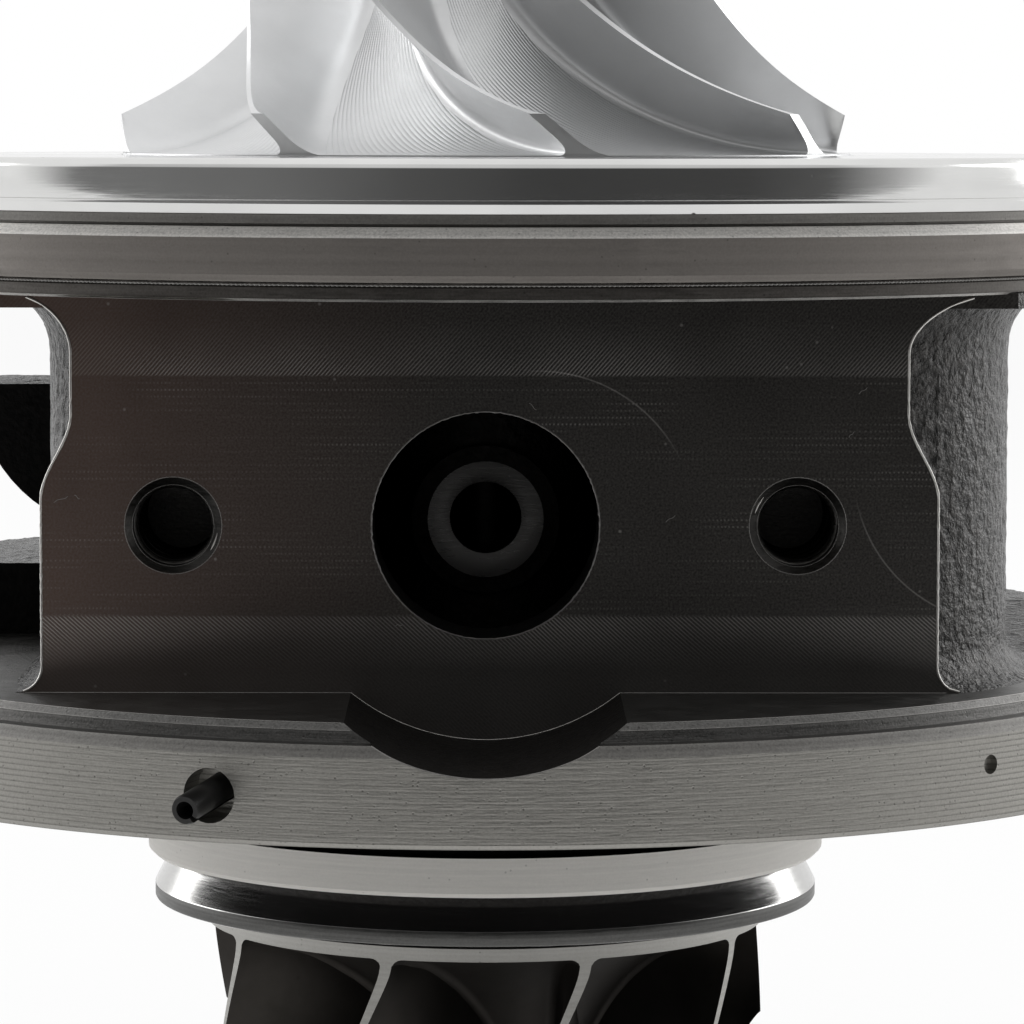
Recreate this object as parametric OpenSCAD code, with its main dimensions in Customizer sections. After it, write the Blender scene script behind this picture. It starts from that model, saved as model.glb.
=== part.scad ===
// Turbocharger centre cartridge: bearing housing, backplate, heat shield and rotor.
// Millimetres. The shaft axis is Z, with the compressor end up and the turbine end down.
// Z = 0 is the lower face of the turbine flange, and the oil drain face looks along -Y.

/* [Turbine flange] */
// radius of the turbine flange
flange_r = 61.5; // [60.5:0.5:65]
// height of the turned rim of the turbine flange
rim_h = 7.2; // [6.6:0.2:7.4]
// height of the machined ledge on top of the turbine flange
ledge_z = 9.6; // [9.2:0.1:10]
// radius of the spigot that locates the turbine housing
spigot_r = 30.8; // [30.6:0.2:33]
// length of the spigot below the turbine flange
spigot_len = 8.9; // [8.3:0.1:9.3]

/* [Compressor flange] */
// radius of the compressor-side flange of the housing
cover_flange_r = 58.2; // [57:0.2:62]
// height of the underside of the compressor-side flange
cover_flange_z = 42.9; // [42.4:0.1:48]
// thickness of the compressor-side flange
cover_flange_t = 5.9; // [5.7:0.1:7]
// radius of the backplate rim
backplate_r = 58; // [57:0.2:62]
// thickness of the backplate rim
backplate_t = 5.4; // [5.2:0.1:6]

/* [Oil drain] */
// distance of the milled drain face from the shaft axis
drain_y = 37.5; // [36.5:0.25:38]
// height of the drain bore above the turbine flange
drain_z = 23.6; // [23:0.2:24.2]
// diameter of the drain bore
drain_d = 19; // [17:0.5:20]
// distance between the two drain screws
drain_pitch = 52; // [50:0.5:54]
// tapping diameter of the drain screw holes
drain_tap_d = 6.8; // [6:0.1:7.2]
// radius of the spot face round the drain bore
spot_r = 17.95; // [16:0.25:18.25]

/* [Oil inlet] */
// tapping diameter of the oil inlet
inlet_tap_d = 10.8; // [9:0.2:12]
// depth of the oil inlet thread
inlet_depth = 12; // [8:0.5:13]

/* [Rotor] */
// diameter of the shaft journals
journal_d = 10; // [9:0.25:10.5]
// diameter of the thin compressor end of the shaft
stub_d = 6.5; // [6:0.1:7]
// radius of the compressor wheel at its blade tips
comp_r = 33; // [31:0.25:33.5]
// height of the blade tips at the compressor wheel's edge
comp_tip_b = 3.5; // [3:0.25:4.5]
// height of the compressor wheel above the backplate
comp_h = 30; // [28:0.5:33]
// radius of the compressor blades at the air inlet
comp_eye_r = 21; // [19:0.25:22]
// radius of the turbine wheel
turb_r = 25.4; // [24:0.2:26.6]
// height of the turbine blades' straight edge at the gas inlet
turb_tip_b = 9.2; // [8:0.2:11]
// axial length of the turbine wheel blades
turb_l = 24; // [22:0.5:28]
// thickness of the turbine wheel's back disc at its edge
turb_rim_t = 1.15; // [1:0.05:1.6]

/* [Bearings] */
// wall of the floating bearings
bearing_wall = 3; // [2.5:0.1:3]
// length of the floating bearings
bearing_len = 9; // [7:0.25:9.5]
// clearance between shaft and floating bearing, on the radius
film_in = 0.05; // [0.03:0.01:0.08]
// clearance between floating bearing and housing, on the radius
film_out = 0.08; // [0.04:0.01:0.1]

/* [Hidden] */
$fn = 96;
// small overlap that keeps cuts clean
eps = 0.05;
// clearance of parts that slip together by hand
slip = 0.04;
// clearance between turning and standing faces
run_gap = 0.4;
// axial clearance of the thrust faces
thrust_gap = 0.08;

// compressor-side face of the housing
face_z = cover_flange_z + cover_flange_t;

// cast body: walls, corner radius and fillets
wall_left = -37;
wall_right = 45.3;
wall_back = 34;
corner_r = 22;
fillet_low = 3.5;
fillet_high = 5;
edge_upper = 34.8;
edge_lower = 37.35;
face_shift = 0.35;
face_foot = 2.2;
front_right_x = wall_right - corner_r;
front_left_x = wall_left + corner_r;
front_right_y = -drain_y + sqrt(pow(corner_r, 2) - pow(edge_upper + face_shift - front_right_x, 2));
front_left_y = -drain_y + sqrt(pow(corner_r, 2) - pow(edge_upper - face_shift + front_left_x, 2));
back_y = wall_back - corner_r;

// bearing bore and the hollow round it
bore_r = journal_d / 2 + film_in + bearing_wall + film_out;
tube_r = 11.2;
hollow_r = 29;
hollow_z0 = 6.5;
hollow_z1 = cover_flange_z - 3.9;
nozzle_r = 6.55;
nozzle_y = 12;
nozzle_z = drain_z - 1.6;
nozzle_hole_r = 3.2;
nozzle_sink = 2;

// thrust end
recess_r = 22;
recess_z = face_z - 5.8;
thrust_t = 3;
deflector_t = 0.8;
collar_r = 9.4;
collar_z = recess_z - 2.5;
collar_t = recess_z - thrust_gap - collar_z;
collar_neck_r = 6.2;
collar_bay_z = collar_z - 0.5;
thrust_top = recess_z + thrust_t;
deflector_top = thrust_top + deflector_t;

// snap rings and bearings
ring_t = 1;
ring_gap = 0.3;
ring_r_in = 6.6;
ring_r_out = bore_r + 0.6;
turb_bearing_z = 2;
comp_bearing_z = recess_z - 5 - bearing_len;
ring_z = [turb_bearing_z - ring_gap - ring_t,
          turb_bearing_z + bearing_len + ring_gap,
          comp_bearing_z - ring_gap - ring_t,
          comp_bearing_z + bearing_len + ring_gap];

// seal rings
seal_t = 1.4;
seal_side = 0.15;
turb_seal_r = 9.3;
turb_boss_r = turb_seal_r - run_gap;
turb_seal_z = -6.4;
comp_seal_r = 8.3;
comp_boss_r = comp_seal_r - run_gap;
comp_seal_z = face_z + 1.1;
seal_depth = 2.2;

// heat shield
shield_t = 0.8;
shield_waist_r = 29.3;
shield_lip_r = 30.2;
shield_waist_z = -spigot_len - 1.8;
shield_disc_z = -spigot_len - 3.5;
shield_low_z = shield_disc_z - shield_t;
shield_lip_z = shield_low_z + 1.3;

// rotor levels
turb_back_z = shield_low_z - 1;
turb_disc_z = turb_back_z - turb_rim_t;
turb_nose_z = turb_disc_z - turb_l - 3;
boss_top_z = -2.5;
wheel_z = face_z + backplate_t + 0.1;
wheel_disc_t = 0.9;
wheel_back_z = wheel_z - wheel_disc_t;
wheel_floor_z = wheel_back_z - 0.6;
wheel_top_z = wheel_z + comp_h;
flinger_top_z = wheel_back_z - 0.2;
nut_h = 6;
nut_d = 10 / cos(30);
shaft_top_z = wheel_top_z + nut_h + 2;
thread_r = 3;

// backplate
plate_relief_z = face_z + 0.22;
plate_neck_z = face_z + 1;
plate_edge_z = face_z + 2.1;
plate_neck = 0.9;
plate_step = 0.12;
plate_top_z = face_z + backplate_t;
plate_chamfer = 0.6;
spigot_in_r = recess_r - slip;
screw_ring_r = 27;
screw_d = 5;
screw_head_d = 8.5;
screw_head_h = 2.2;
screw_angles = [45, 135, 225, 315];
cord_r = 0.6;
cord_gap = 0.02;
cord_z = face_z - 0.3 - cord_r;

// screws of the thrust bearing
thrust_screw_ring_r = 16.5;
thrust_screw_r = 1.5;
thrust_head_r = 2.9;
thrust_head_h = 1.6;
thrust_screw_angles = [60, 180, 300];

// cast lug, pads and oil inlet boss
lug_r = 13.8;
lug_x = -33.3;
lug_z = 33;
lug_y0 = 6;
lug_y1 = 22;
left_pad_z = 16.2;
left_pad_y0 = 8;
left_pad_y1 = 40;
right_pad_z = 12;
inlet_boss_r = 13;
inlet_y = 42;
gallery_y = 13;
gallery_r = 1.25;

// turned details of the turbine flange and the spigot
rim_chamfer = 0.9;
ledge_step = 3.1;
spigot_land = 3.45;
spigot_groove_w = 1.05;
spigot_groove = 1;
dimple_angle = 42.3;
dimple_z = 4.7;
dimple_r = 0.8;

// locating pin in the turbine flange, set a little downwards
pin_angle = -20.9;
pin_tilt = 7;
pin_z = 3.8;
pin_r = 1.2;
pin_hollow_r = 0.72;
pin_hole_r = 2.2;
pin_out = 4.6;
pin_in = 9;

// blades
comp_blades = 8;
comp_turn = 77;
comp_rake = 6.2;
turb_blades = 9;
turb_turn = 52;
turb_lean = 8;
turb_phase = -19.8;
turb_nose_r = 6.5;

// position on the rim at an angle counted from the front, towards +X
function polar(r, a, z) = [r * sin(a), -r * cos(a), z];

// cylinder along Y between two depths
module along_y(r, y0, y1, x = 0, z = 0) {
    translate([x, y0, z])
        rotate([-90, 0, 0])
            cylinder(r = r, h = y1 - y0);
}

// places children on the turbine flange's rim, with their Z axis out of the rim and tilted down
module on_rim(a, z, tilt) {
    translate(polar(flange_r, a, z))
        rotate([90 + tilt, 0, a])
            children();
}

// ring between two radii
module washer(r0, r1, z0, z1) {
    translate([0, 0, z0])
        difference() {
            cylinder(r = r1, h = z1 - z0);
            translate([0, 0, -eps])
                cylinder(r = r0, h = z1 - z0 + 2 * eps);
        }
}

// split ring with a gap on its +X side
module split_ring(r0, r1, z0, z1, gap) {
    difference() {
        washer(r0, r1, z0, z1);
        translate([0, -gap / 2, z0 - eps])
            cube([r1 + 1, gap, z1 - z0 + 2 * eps]);
    }
}

// concave quarter of a cast fillet, foot at the origin and rising along +Y
function fillet_points(r) = concat([[-1, 0], [r, 0]],
    [for (i = [1:9]) [r - r * sin(i * 9), r - r * cos(i * 9)]], [[0, r], [-1, r]]);

// round corner of the cast body with a fillet into each flange
module corner_post(x, y) {
    translate([x, y, 0]) {
        translate([0, 0, ledge_z - 1])
            cylinder(r = corner_r, h = cover_flange_z - ledge_z + 2);
        translate([0, 0, ledge_z - eps])
            rotate_extrude()
                translate([corner_r, 0])
                    polygon(fillet_points(fillet_low));
        translate([0, 0, cover_flange_z + eps])
            mirror([0, 0, 1])
                rotate_extrude()
                    translate([corner_r, 0])
                        polygon(fillet_points(fillet_high));
    }
}

// straight fillets at the foot and head of a wall that runs along +Y at x
module wall_fillets(x, y0, y1, side) {
    translate([x, y1, ledge_z - eps])
        mirror([side < 0 ? 1 : 0, 0, 0])
            rotate([90, 0, 0])
                linear_extrude(y1 - y0)
                    polygon(fillet_points(fillet_low));
    translate([x, y1, cover_flange_z + eps])
        mirror([0, 0, 1])
            mirror([side < 0 ? 1 : 0, 0, 0])
                rotate([90, 0, 0])
                    linear_extrude(y1 - y0)
                        polygon(fillet_points(fillet_high));
}

// half width of the milled drain face at a height
function face_half(z) = z > 33 ? edge_upper
    : z < 25.6 ? edge_lower
    : edge_lower + (edge_upper - edge_lower) * (1 - cos((z - 25.6) / 7.4 * 180)) / 2;

// block behind the milled face, wider at its lower half and filleted at its foot
module face_block() {
    zs = [for (i = [0:12]) 25.6 + 7.4 * i / 12];
    low = concat([[edge_lower + face_foot, ledge_z - 1]],
                 [for (a = [0:15:90]) [edge_lower + face_foot * (1 - sin(a)), ledge_z + face_foot * (1 - cos(a))]]);
    top = [[edge_upper, cover_flange_z + 1]];
    right = concat(low, [for (z = zs) [face_half(z), z]], top);
    left = [for (i = [len(right) - 1:-1:0]) [-right[i][0], right[i][1]]];
    translate([face_shift, -drain_y + 5, 0])
        rotate([90, 0, 0])
            linear_extrude(5)
                polygon(concat(right, left));
}

// turned outline of the turbine flange and the grooved spigot
module turbine_flange() {
    land_z = spigot_land - spigot_len;
    groove_z = land_z + spigot_groove_w;
    rotate_extrude()
        polygon([[0, -spigot_len], [spigot_r - 0.4, -spigot_len], [spigot_r, -spigot_len + 0.4],
                 [spigot_r, land_z], [spigot_r - spigot_groove, land_z], [spigot_r - spigot_groove, groove_z],
                 [spigot_r, groove_z], [spigot_r, 0], [flange_r - 0.4, 0], [flange_r, 0.4], [flange_r, rim_h],
                 [flange_r - rim_chamfer, rim_h + rim_chamfer], [flange_r - ledge_step + 0.6, rim_h + rim_chamfer],
                 [flange_r - ledge_step + 0.4, ledge_z - 0.55], [flange_r - ledge_step, ledge_z], [0, ledge_z]]);
}

// turned outline of the compressor-side flange, with a narrow band and a groove under its rim
module cover_flange() {
    band_r = cover_flange_r - 0.7;
    groove_r = cover_flange_r - 0.95;
    rotate_extrude()
        polygon([[0, cover_flange_z], [band_r - 0.3, cover_flange_z], [band_r, cover_flange_z + 0.2],
                 [band_r, cover_flange_z + 1.1], [groove_r, cover_flange_z + 1.3], [groove_r, cover_flange_z + 1.5],
                 [cover_flange_r - 0.4, cover_flange_z + 1.55], [cover_flange_r, cover_flange_z + 2.1],
                 [cover_flange_r, face_z - 0.85], [cover_flange_r - 0.85, face_z], [0, face_z]]);
}

// cast walls between the flanges
module cast_body() {
    corner_post(front_right_x, front_right_y);
    corner_post(front_left_x, front_left_y);
    corner_post(front_right_x, back_y);
    corner_post(front_left_x, back_y);
    translate([front_left_x, -drain_y, ledge_z - 1])
        cube([front_right_x - front_left_x, drain_y + wall_back, cover_flange_z - ledge_z + 2]);
    translate([wall_left, front_left_y, ledge_z - 1])
        cube([corner_r, back_y - front_left_y, cover_flange_z - ledge_z + 2]);
    translate([front_right_x, front_right_y, ledge_z - 1])
        cube([corner_r, back_y - front_right_y, cover_flange_z - ledge_z + 2]);
    wall_fillets(wall_right, front_right_y, back_y, 1);
    wall_fillets(wall_left, front_left_y, back_y, -1);
    face_block();
}

// bosses and pads cast on the body and on the turbine flange
module cast_bosses() {
    // half-round lug on the left, with a flat top
    intersection() {
        along_y(lug_r, lug_y0, lug_y1, lug_x, lug_z);
        translate([lug_x - lug_r - 1, lug_y0 - 1, lug_z - lug_r - 1])
            cube([2 * lug_r + 2, lug_y1 - lug_y0 + 2, lug_r + 1]);
    }
    // raised pads on the turbine flange
    intersection() {
        translate([0, 0, 1])
            cylinder(r = flange_r - ledge_step, h = 20);
        union() {
            translate([wall_left - 30, left_pad_y0, 1])
                cube([40, left_pad_y1 - left_pad_y0, left_pad_z - 1]);
            translate([wall_right - 17, 0, 0])
                rotate([90, 0, 90])
                    linear_extrude(40)
                        polygon([[-8, 1], [-8, ledge_z - 0.1], [16, right_pad_z], [40, right_pad_z],
                                 [44, ledge_z - 0.1], [44, 1]]);
        }
    }
    // round boss for the oil inlet
    along_y(inlet_boss_r, wall_back - 14, inlet_y, 0, drain_z);
}

// hollow that takes the oil from the bearings to the drain
module oil_hollow() {
    difference() {
        translate([0, 0, hollow_z0])
            cylinder(r = hollow_r, h = hollow_z1 - hollow_z0);
        translate([0, 0, hollow_z0 - 1])
            cylinder(r = tube_r, h = hollow_z1 - hollow_z0 + 2);
        along_y(nozzle_r, -nozzle_y, 0, 0, nozzle_z);
        translate([-5, 0, hollow_z0 - 1])
            cube([10, hollow_r + 2, hollow_z1 - hollow_z0 + 2]);
    }
}

// drilled oil feed: inlet, gallery and one cross hole to each bearing
module oil_feed() {
    along_y(inlet_tap_d / 2, inlet_y - inlet_depth, inlet_y + 1, 0, drain_z);
    along_y(2, gallery_y, inlet_y + 1, 0, drain_z);
    translate([0, gallery_y, turb_bearing_z + bearing_len / 2])
        cylinder(r = gallery_r, h = recess_z + 1 - turb_bearing_z - bearing_len / 2);
    along_y(gallery_r, bore_r - 1, gallery_y, 0, turb_bearing_z + bearing_len / 2);
    along_y(gallery_r, bore_r - 1, gallery_y, 0, comp_bearing_z + bearing_len / 2);
}

// bores along the shaft axis
module shaft_bores() {
    translate([0, 0, boss_top_z - 0.5])
        cylinder(r = bore_r, h = face_z);
    translate([0, 0, -spigot_len - 1])
        cylinder(r = turb_seal_r, h = spigot_len + 1 + boss_top_z + 0.5);
    translate([0, 0, collar_bay_z])
        cylinder(r = collar_r + 1, h = 20);
    translate([0, 0, recess_z])
        cylinder(r = recess_r, h = 20);
    for (z = ring_z)
        translate([0, 0, z - slip])
            cylinder(r = ring_r_out + slip, h = ring_t + 2 * slip);
}

// drain bore, screw holes and the countersunk hole in the bearing tube
module drain_holes() {
    along_y(drain_d / 2, -drain_y - 1, -hollow_r + 8, 0, drain_z);
    for (side = [-1, 1]) {
        along_y(drain_tap_d / 2, -drain_y - 1, -drain_y + 16, side * drain_pitch / 2, drain_z);
        translate([side * drain_pitch / 2, -drain_y - eps, drain_z])
            rotate([-90, 0, 0])
                cylinder(r1 = drain_tap_d / 2 + 0.65, r2 = drain_tap_d / 2, h = 0.7);
    }
    along_y(nozzle_hole_r, -nozzle_y - 1, 0, 0, nozzle_z);
    translate([0, -nozzle_y - eps, nozzle_z])
        rotate([-90, 0, 0])
            cylinder(r1 = nozzle_hole_r + nozzle_sink, r2 = nozzle_hole_r, h = nozzle_sink);
}

module bearing_housing() {
    color([0.30, 0.28, 0.27])
        difference() {
            union() {
                turbine_flange();
                cover_flange();
                cast_body();
                cast_bosses();
            }
            // milled front
            translate([-2 * flange_r, -2 * flange_r, ledge_z])
                cube([4 * flange_r, 2 * flange_r - drain_y, cover_flange_z - ledge_z]);
            along_y(spot_r, -2 * flange_r, -drain_y, 0, drain_z);
            oil_hollow();
            drain_holes();
            oil_feed();
            shaft_bores();
            // stepped hole for the locating pin and a punched dimple
            on_rim(pin_angle, pin_z, pin_tilt) {
                translate([0, 0, -pin_in])
                    cylinder(r = pin_r + slip / 2, h = 20);
                translate([0, 0, -3])
                    cylinder(r = pin_hole_r, h = 20);
            }
            on_rim(dimple_angle, dimple_z, 0)
                translate([0, 0, -0.7])
                    cylinder(r = dimple_r, h = 5);
            // tapped holes under the backplate and the thrust bearing
            for (a = screw_angles)
                translate(polar(screw_ring_r, a, face_z - 7.5))
                    cylinder(r = screw_d / 2, h = 10);
            for (a = thrust_screw_angles)
                translate(polar(thrust_screw_ring_r, a, recess_z - 3.4))
                    cylinder(r = thrust_screw_r, h = 5);
        }
}

module backplate() {
    color([0.80, 0.80, 0.82])
        difference() {
            rotate_extrude()
                polygon([[comp_seal_r, face_z - 0.2], [collar_r + 1, face_z - 0.2],
                         [collar_r + 1, deflector_top], [spigot_in_r, deflector_top],
                         [spigot_in_r, face_z], [backplate_r - plate_neck - 0.5, face_z],
                         [backplate_r - plate_neck - 0.5, plate_relief_z], [backplate_r - plate_neck, plate_relief_z],
                         [backplate_r - plate_neck, plate_neck_z],
                         [backplate_r - plate_step, plate_neck_z + plate_neck - plate_step],
                         [backplate_r - plate_step, plate_edge_z], [backplate_r, plate_edge_z],
                         [backplate_r, plate_top_z - plate_chamfer],
                         [backplate_r - plate_chamfer, plate_top_z], [comp_r + 0.6, plate_top_z],
                         [comp_r + 0.6, wheel_floor_z], [comp_seal_r, wheel_floor_z]]);
            // groove for the sealing cord
            washer(recess_r - 2 * (cord_r + cord_gap), recess_r + 1,
                   cord_z - cord_r - cord_gap, cord_z + cord_r + cord_gap);
            for (a = screw_angles)
                translate(polar(screw_ring_r, a, 0)) {
                    translate([0, 0, face_z - 1])
                        cylinder(r = screw_d / 2 + 0.25, h = 10);
                    translate([0, 0, wheel_floor_z - screw_head_h])
                        cylinder(r = screw_head_d / 2 + 0.25, h = 10);
                }
        }
}

module backplate_screws() {
    color([0.45, 0.45, 0.47])
        for (a = screw_angles)
            translate(polar(screw_ring_r, a, 0))
                difference() {
                    union() {
                        translate([0, 0, face_z - 7])
                            cylinder(r = screw_d / 2 - slip, h = wheel_floor_z - face_z + 6);
                        translate([0, 0, wheel_floor_z - screw_head_h])
                            cylinder(r = screw_head_d / 2, h = screw_head_h - 0.2);
                    }
                    translate([0, 0, wheel_floor_z - 1.6])
                        cylinder(r = 4 / cos(30) / 2, h = 5, $fn = 6);
                }
}

module backplate_o_ring() {
    color([0.05, 0.05, 0.05])
        translate([0, 0, cord_z])
            rotate_extrude()
                translate([recess_r - cord_gap - cord_r, 0])
                    circle(r = cord_r, $fn = 32);
}

module thrust_bearing() {
    color([0.72, 0.55, 0.28])
        difference() {
            washer(collar_neck_r + run_gap, recess_r - slip, recess_z, thrust_top);
            for (a = thrust_screw_angles)
                translate(polar(thrust_screw_ring_r, a, 0)) {
                    translate([0, 0, recess_z - 1])
                        cylinder(r = thrust_screw_r + 0.2, h = 8);
                    translate([0, 0, thrust_top - thrust_head_h])
                        cylinder(r = thrust_head_r + 0.2, h = 8);
                }
            // oil groove from the gallery to the pads
            translate([-0.9, collar_neck_r, recess_z - eps])
                cube([1.8, gallery_y - collar_neck_r + gallery_r, 0.9]);
        }
}

module thrust_screws() {
    color([0.45, 0.45, 0.47])
        for (a = thrust_screw_angles)
            translate(polar(thrust_screw_ring_r, a, 0))
                difference() {
                    union() {
                        translate([0, 0, recess_z - 3.2])
                            cylinder(r = thrust_screw_r - slip, h = thrust_t + 2);
                        translate([0, 0, thrust_top - thrust_head_h])
                            cylinder(r = thrust_head_r, h = thrust_head_h - 0.1);
                    }
                    translate([-0.4, -4, thrust_top - 0.8])
                        cube([0.8, 8, 2]);
                }
}

module oil_deflector() {
    color([0.62, 0.62, 0.64])
        washer(collar_r + 1, recess_r - slip, thrust_top, deflector_top);
}

module heat_shield() {
    color([0.80, 0.80, 0.80])
        rotate_extrude()
            polygon([[turb_boss_r + 1, shield_low_z], [shield_lip_r - 0.15, shield_low_z],
                     [shield_lip_r, shield_low_z + 0.2], [shield_lip_r, shield_lip_z],
                     [shield_waist_r + 0.35, shield_lip_z + 0.5], [shield_waist_r, shield_waist_z],
                     [shield_waist_r, -spigot_len],
                     [shield_waist_r - shield_t, -spigot_len], [shield_waist_r - shield_t, shield_disc_z],
                     [turb_boss_r + 1, shield_disc_z]]);
}

module spring_pin() {
    color([0.10, 0.10, 0.10])
        on_rim(pin_angle, pin_z, pin_tilt)
            translate([0, 0, -pin_in])
                difference() {
                    cylinder(r = pin_r, h = pin_in + pin_out);
                    translate([0, 0, -1])
                        cylinder(r = pin_hollow_r, h = pin_in + pin_out + 2);
                    translate([-2, -0.2, -1])
                        cube([2, 0.4, pin_in + pin_out + 2]);
                }
}

// one of the snap rings that keep the floating bearings in place
module snap_ring(i) {
    color([0.35, 0.35, 0.37])
        split_ring(ring_r_in, ring_r_out, ring_z[i], ring_z[i] + ring_t, 3);
}

module turbine_outer_snap_ring() {
    snap_ring(0);
}

module turbine_inner_snap_ring() {
    snap_ring(1);
}

module compressor_inner_snap_ring() {
    snap_ring(2);
}

module compressor_outer_snap_ring() {
    snap_ring(3);
}

module compressor_seal_ring() {
    color([0.40, 0.40, 0.42])
        split_ring(comp_boss_r - seal_depth + run_gap, comp_seal_r - slip / 2, comp_seal_z, comp_seal_z + seal_t, 0.3);
}

module turbine_seal_ring() {
    color([0.40, 0.40, 0.42])
        split_ring(turb_boss_r - seal_depth + run_gap, turb_seal_r - slip / 2, turb_seal_z, turb_seal_z + seal_t, 0.3);
}

// floating bearing with oil holes round its middle
module floating_bearing(z) {
    color([0.72, 0.52, 0.25])
        difference() {
            washer(journal_d / 2 + film_in, bore_r - film_out, z, z + bearing_len);
            for (a = [0:60:300])
                translate([0, 0, z + bearing_len / 2])
                    rotate([0, 90, a])
                        cylinder(r = 1, h = 12);
        }
}

module compressor_bearing() {
    floating_bearing(comp_bearing_z);
}

module turbine_bearing() {
    floating_bearing(turb_bearing_z);
}

module shaft() {
    color([0.66, 0.66, 0.68])
        rotate_extrude()
            polygon([[0, boss_top_z], [journal_d / 2, boss_top_z], [journal_d / 2, ring_z[1] + ring_t],
                     [journal_d / 2 - 0.6, ring_z[1] + ring_t + 1], [journal_d / 2 - 0.6, ring_z[2] - 1],
                     [journal_d / 2, ring_z[2]], [journal_d / 2, collar_z], [stub_d / 2, collar_z],
                     [stub_d / 2, wheel_top_z - 1], [thread_r, wheel_top_z - 1],
                     [thread_r, shaft_top_z - 0.6], [thread_r - 0.6, shaft_top_z], [0, shaft_top_z]]);
}

module thrust_collar() {
    color([0.60, 0.60, 0.62])
        rotate_extrude()
            polygon([[stub_d / 2 + slip, collar_z], [collar_r, collar_z], [collar_r, collar_z + collar_t],
                     [collar_neck_r, collar_z + collar_t], [collar_neck_r, thrust_top + thrust_gap],
                     [stub_d / 2 + slip, thrust_top + thrust_gap]]);
}

module flinger_sleeve() {
    z0 = thrust_top + thrust_gap;
    groove_r = comp_boss_r - seal_depth;
    color([0.62, 0.62, 0.64])
        rotate_extrude()
            polygon([[stub_d / 2 + slip, z0], [collar_r, z0], [collar_r, deflector_top + 0.9],
                     [comp_boss_r, deflector_top + 0.9], [comp_boss_r, comp_seal_z - seal_side],
                     [groove_r, comp_seal_z - seal_side], [groove_r, comp_seal_z + seal_t + seal_side],
                     [comp_boss_r, comp_seal_z + seal_t + seal_side], [comp_boss_r, flinger_top_z],
                     [stub_d / 2 + slip, flinger_top_z]]);
}

// blade from stations, each given as root and tip points with their half widths
function blade_loop(h, s, wh, ws) = [
    polar(h[0], h[2] - wh / h[0] * 57.3, h[1]), polar(h[0], h[2] + wh / h[0] * 57.3, h[1]),
    polar(s[0], s[2] + ws / s[0] * 57.3, s[1]), polar(s[0], s[2] - ws / s[0] * 57.3, s[1])];

module blade_solid(loops) {
    n = len(loops);
    points = [for (loop = loops) for (p = loop) p];
    sides = [for (i = [0:n - 2]) for (k = [0:3]) for (h = [0, 1])
        let (a = 4 * i + k, b = 4 * i + (k + 1) % 4)
        h == 0 ? [a, b, b + 4] : [a, b + 4, a + 4]];
    last = 4 * (n - 1);
    ends = [[0, 2, 1], [0, 3, 2], [last, last + 1, last + 2], [last, last + 2, last + 3]];
    polyhedron(points = points, faces = concat(sides, ends));
}

// compressor hub line, from the wheel's edge (m = 0) to the air inlet (m = 1)
function comp_hub(m) = let (t = 90 - 81.3 * m)
    [7 + (comp_r - 7) * (1 - cos(t)), wheel_z + comp_h * (1 - sin(t)) * 0.985];

// compressor blade edge next to the cover
function comp_edge(m) = let (z = comp_tip_b + (comp_h - comp_tip_b - 4.6) * pow(m, 1.7))
    [comp_eye_r - 0.3 + (comp_r - comp_eye_r + 0.3) * exp(-(z - comp_tip_b) / 3.55), wheel_z + z];

function comp_angle(m) = -comp_turn * pow(m, 1.75);

// blade root, pushed into the hub along the line from the blade edge
function comp_root(m, sink) = let (h = comp_hub(m), s = comp_edge(m), d = norm(h - s))
    h + (h - s) * sink / d;

module comp_blade(m_end) {
    n = 9;
    blade_solid([for (i = [0:n])
        let (m = m_end * i / n, h = comp_root(m, 0.6), s = comp_edge(m), a = comp_angle(m))
        blade_loop([h[0] - 0.1, h[1], a + comp_rake * (1 - m)], [s[0] - 0.1, s[1], a],
                   0.75 + 0.25 * m, 0.4 + 0.3 * m)]);
}

module compressor_wheel() {
    hub = [for (i = [0:24]) comp_hub(i / 24)];
    color([0.86, 0.87, 0.88])
        difference() {
            union() {
                rotate_extrude()
                    polygon(concat([[stub_d / 2 + slip, flinger_top_z], [14, flinger_top_z], [18, wheel_back_z],
                                    [comp_r, wheel_back_z]],
                                   hub, [[7, wheel_top_z], [stub_d / 2 + slip, wheel_top_z]]));
                for (i = [0:comp_blades - 1])
                    rotate([0, 0, 9.5 + i * 360 / comp_blades])
                        comp_blade(i % 2 == 0 ? 1 : 0.74);
            }
            translate([0, 0, wheel_z - 10])
                cylinder(r = stub_d / 2 + slip, h = comp_h + 20);
        }
}

module shaft_nut() {
    color([0.55, 0.55, 0.57])
        translate([0, 0, wheel_top_z])
            difference() {
                union() {
                    cylinder(r = nut_d / 2, h = nut_h, $fn = 6);
                    cylinder(r = 6.6, h = 1.2);
                }
                translate([0, 0, -1])
                    cylinder(r = thread_r + slip, h = nut_h + 2);
            }
}

// turbine hub line, from the back disc's edge (m = 0) to the nose (m = 1)
function turb_hub(m) = let (t = 90 - 84 * m)
    [turb_nose_r + (turb_r - turb_nose_r) * (1 - cos(t)), turb_disc_z - turb_l * (1 - sin(t))];

// turbine blade edge: straight at the gas inlet, then curving in to the outlet
function turb_edge(m) = let (z = turb_tip_b + (turb_l - 1 - turb_tip_b) * m)
    [turb_r - 4.2 * sin(90 * pow(m, 0.8)), turb_disc_z - z];

function turb_angle(m) = turb_turn * pow(m, 2.1);

function turb_root(m, sink) = let (h = turb_hub(m), s = turb_edge(m), d = norm(h - s))
    h + (h - s) * sink / d;

module turb_blade() {
    n = 8;
    blade_solid([for (i = [0:n])
        let (m = 1 - i / n, h = turb_root(m, 0.5), s = turb_edge(m), a = turb_angle(m))
        blade_loop([h[0] - 0.1, h[1], a], [s[0] - 0.1, s[1], a - turb_lean * (1 - m)],
                   0.8 + 0.3 * m, 0.42 + 0.2 * m)]);
}

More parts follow.
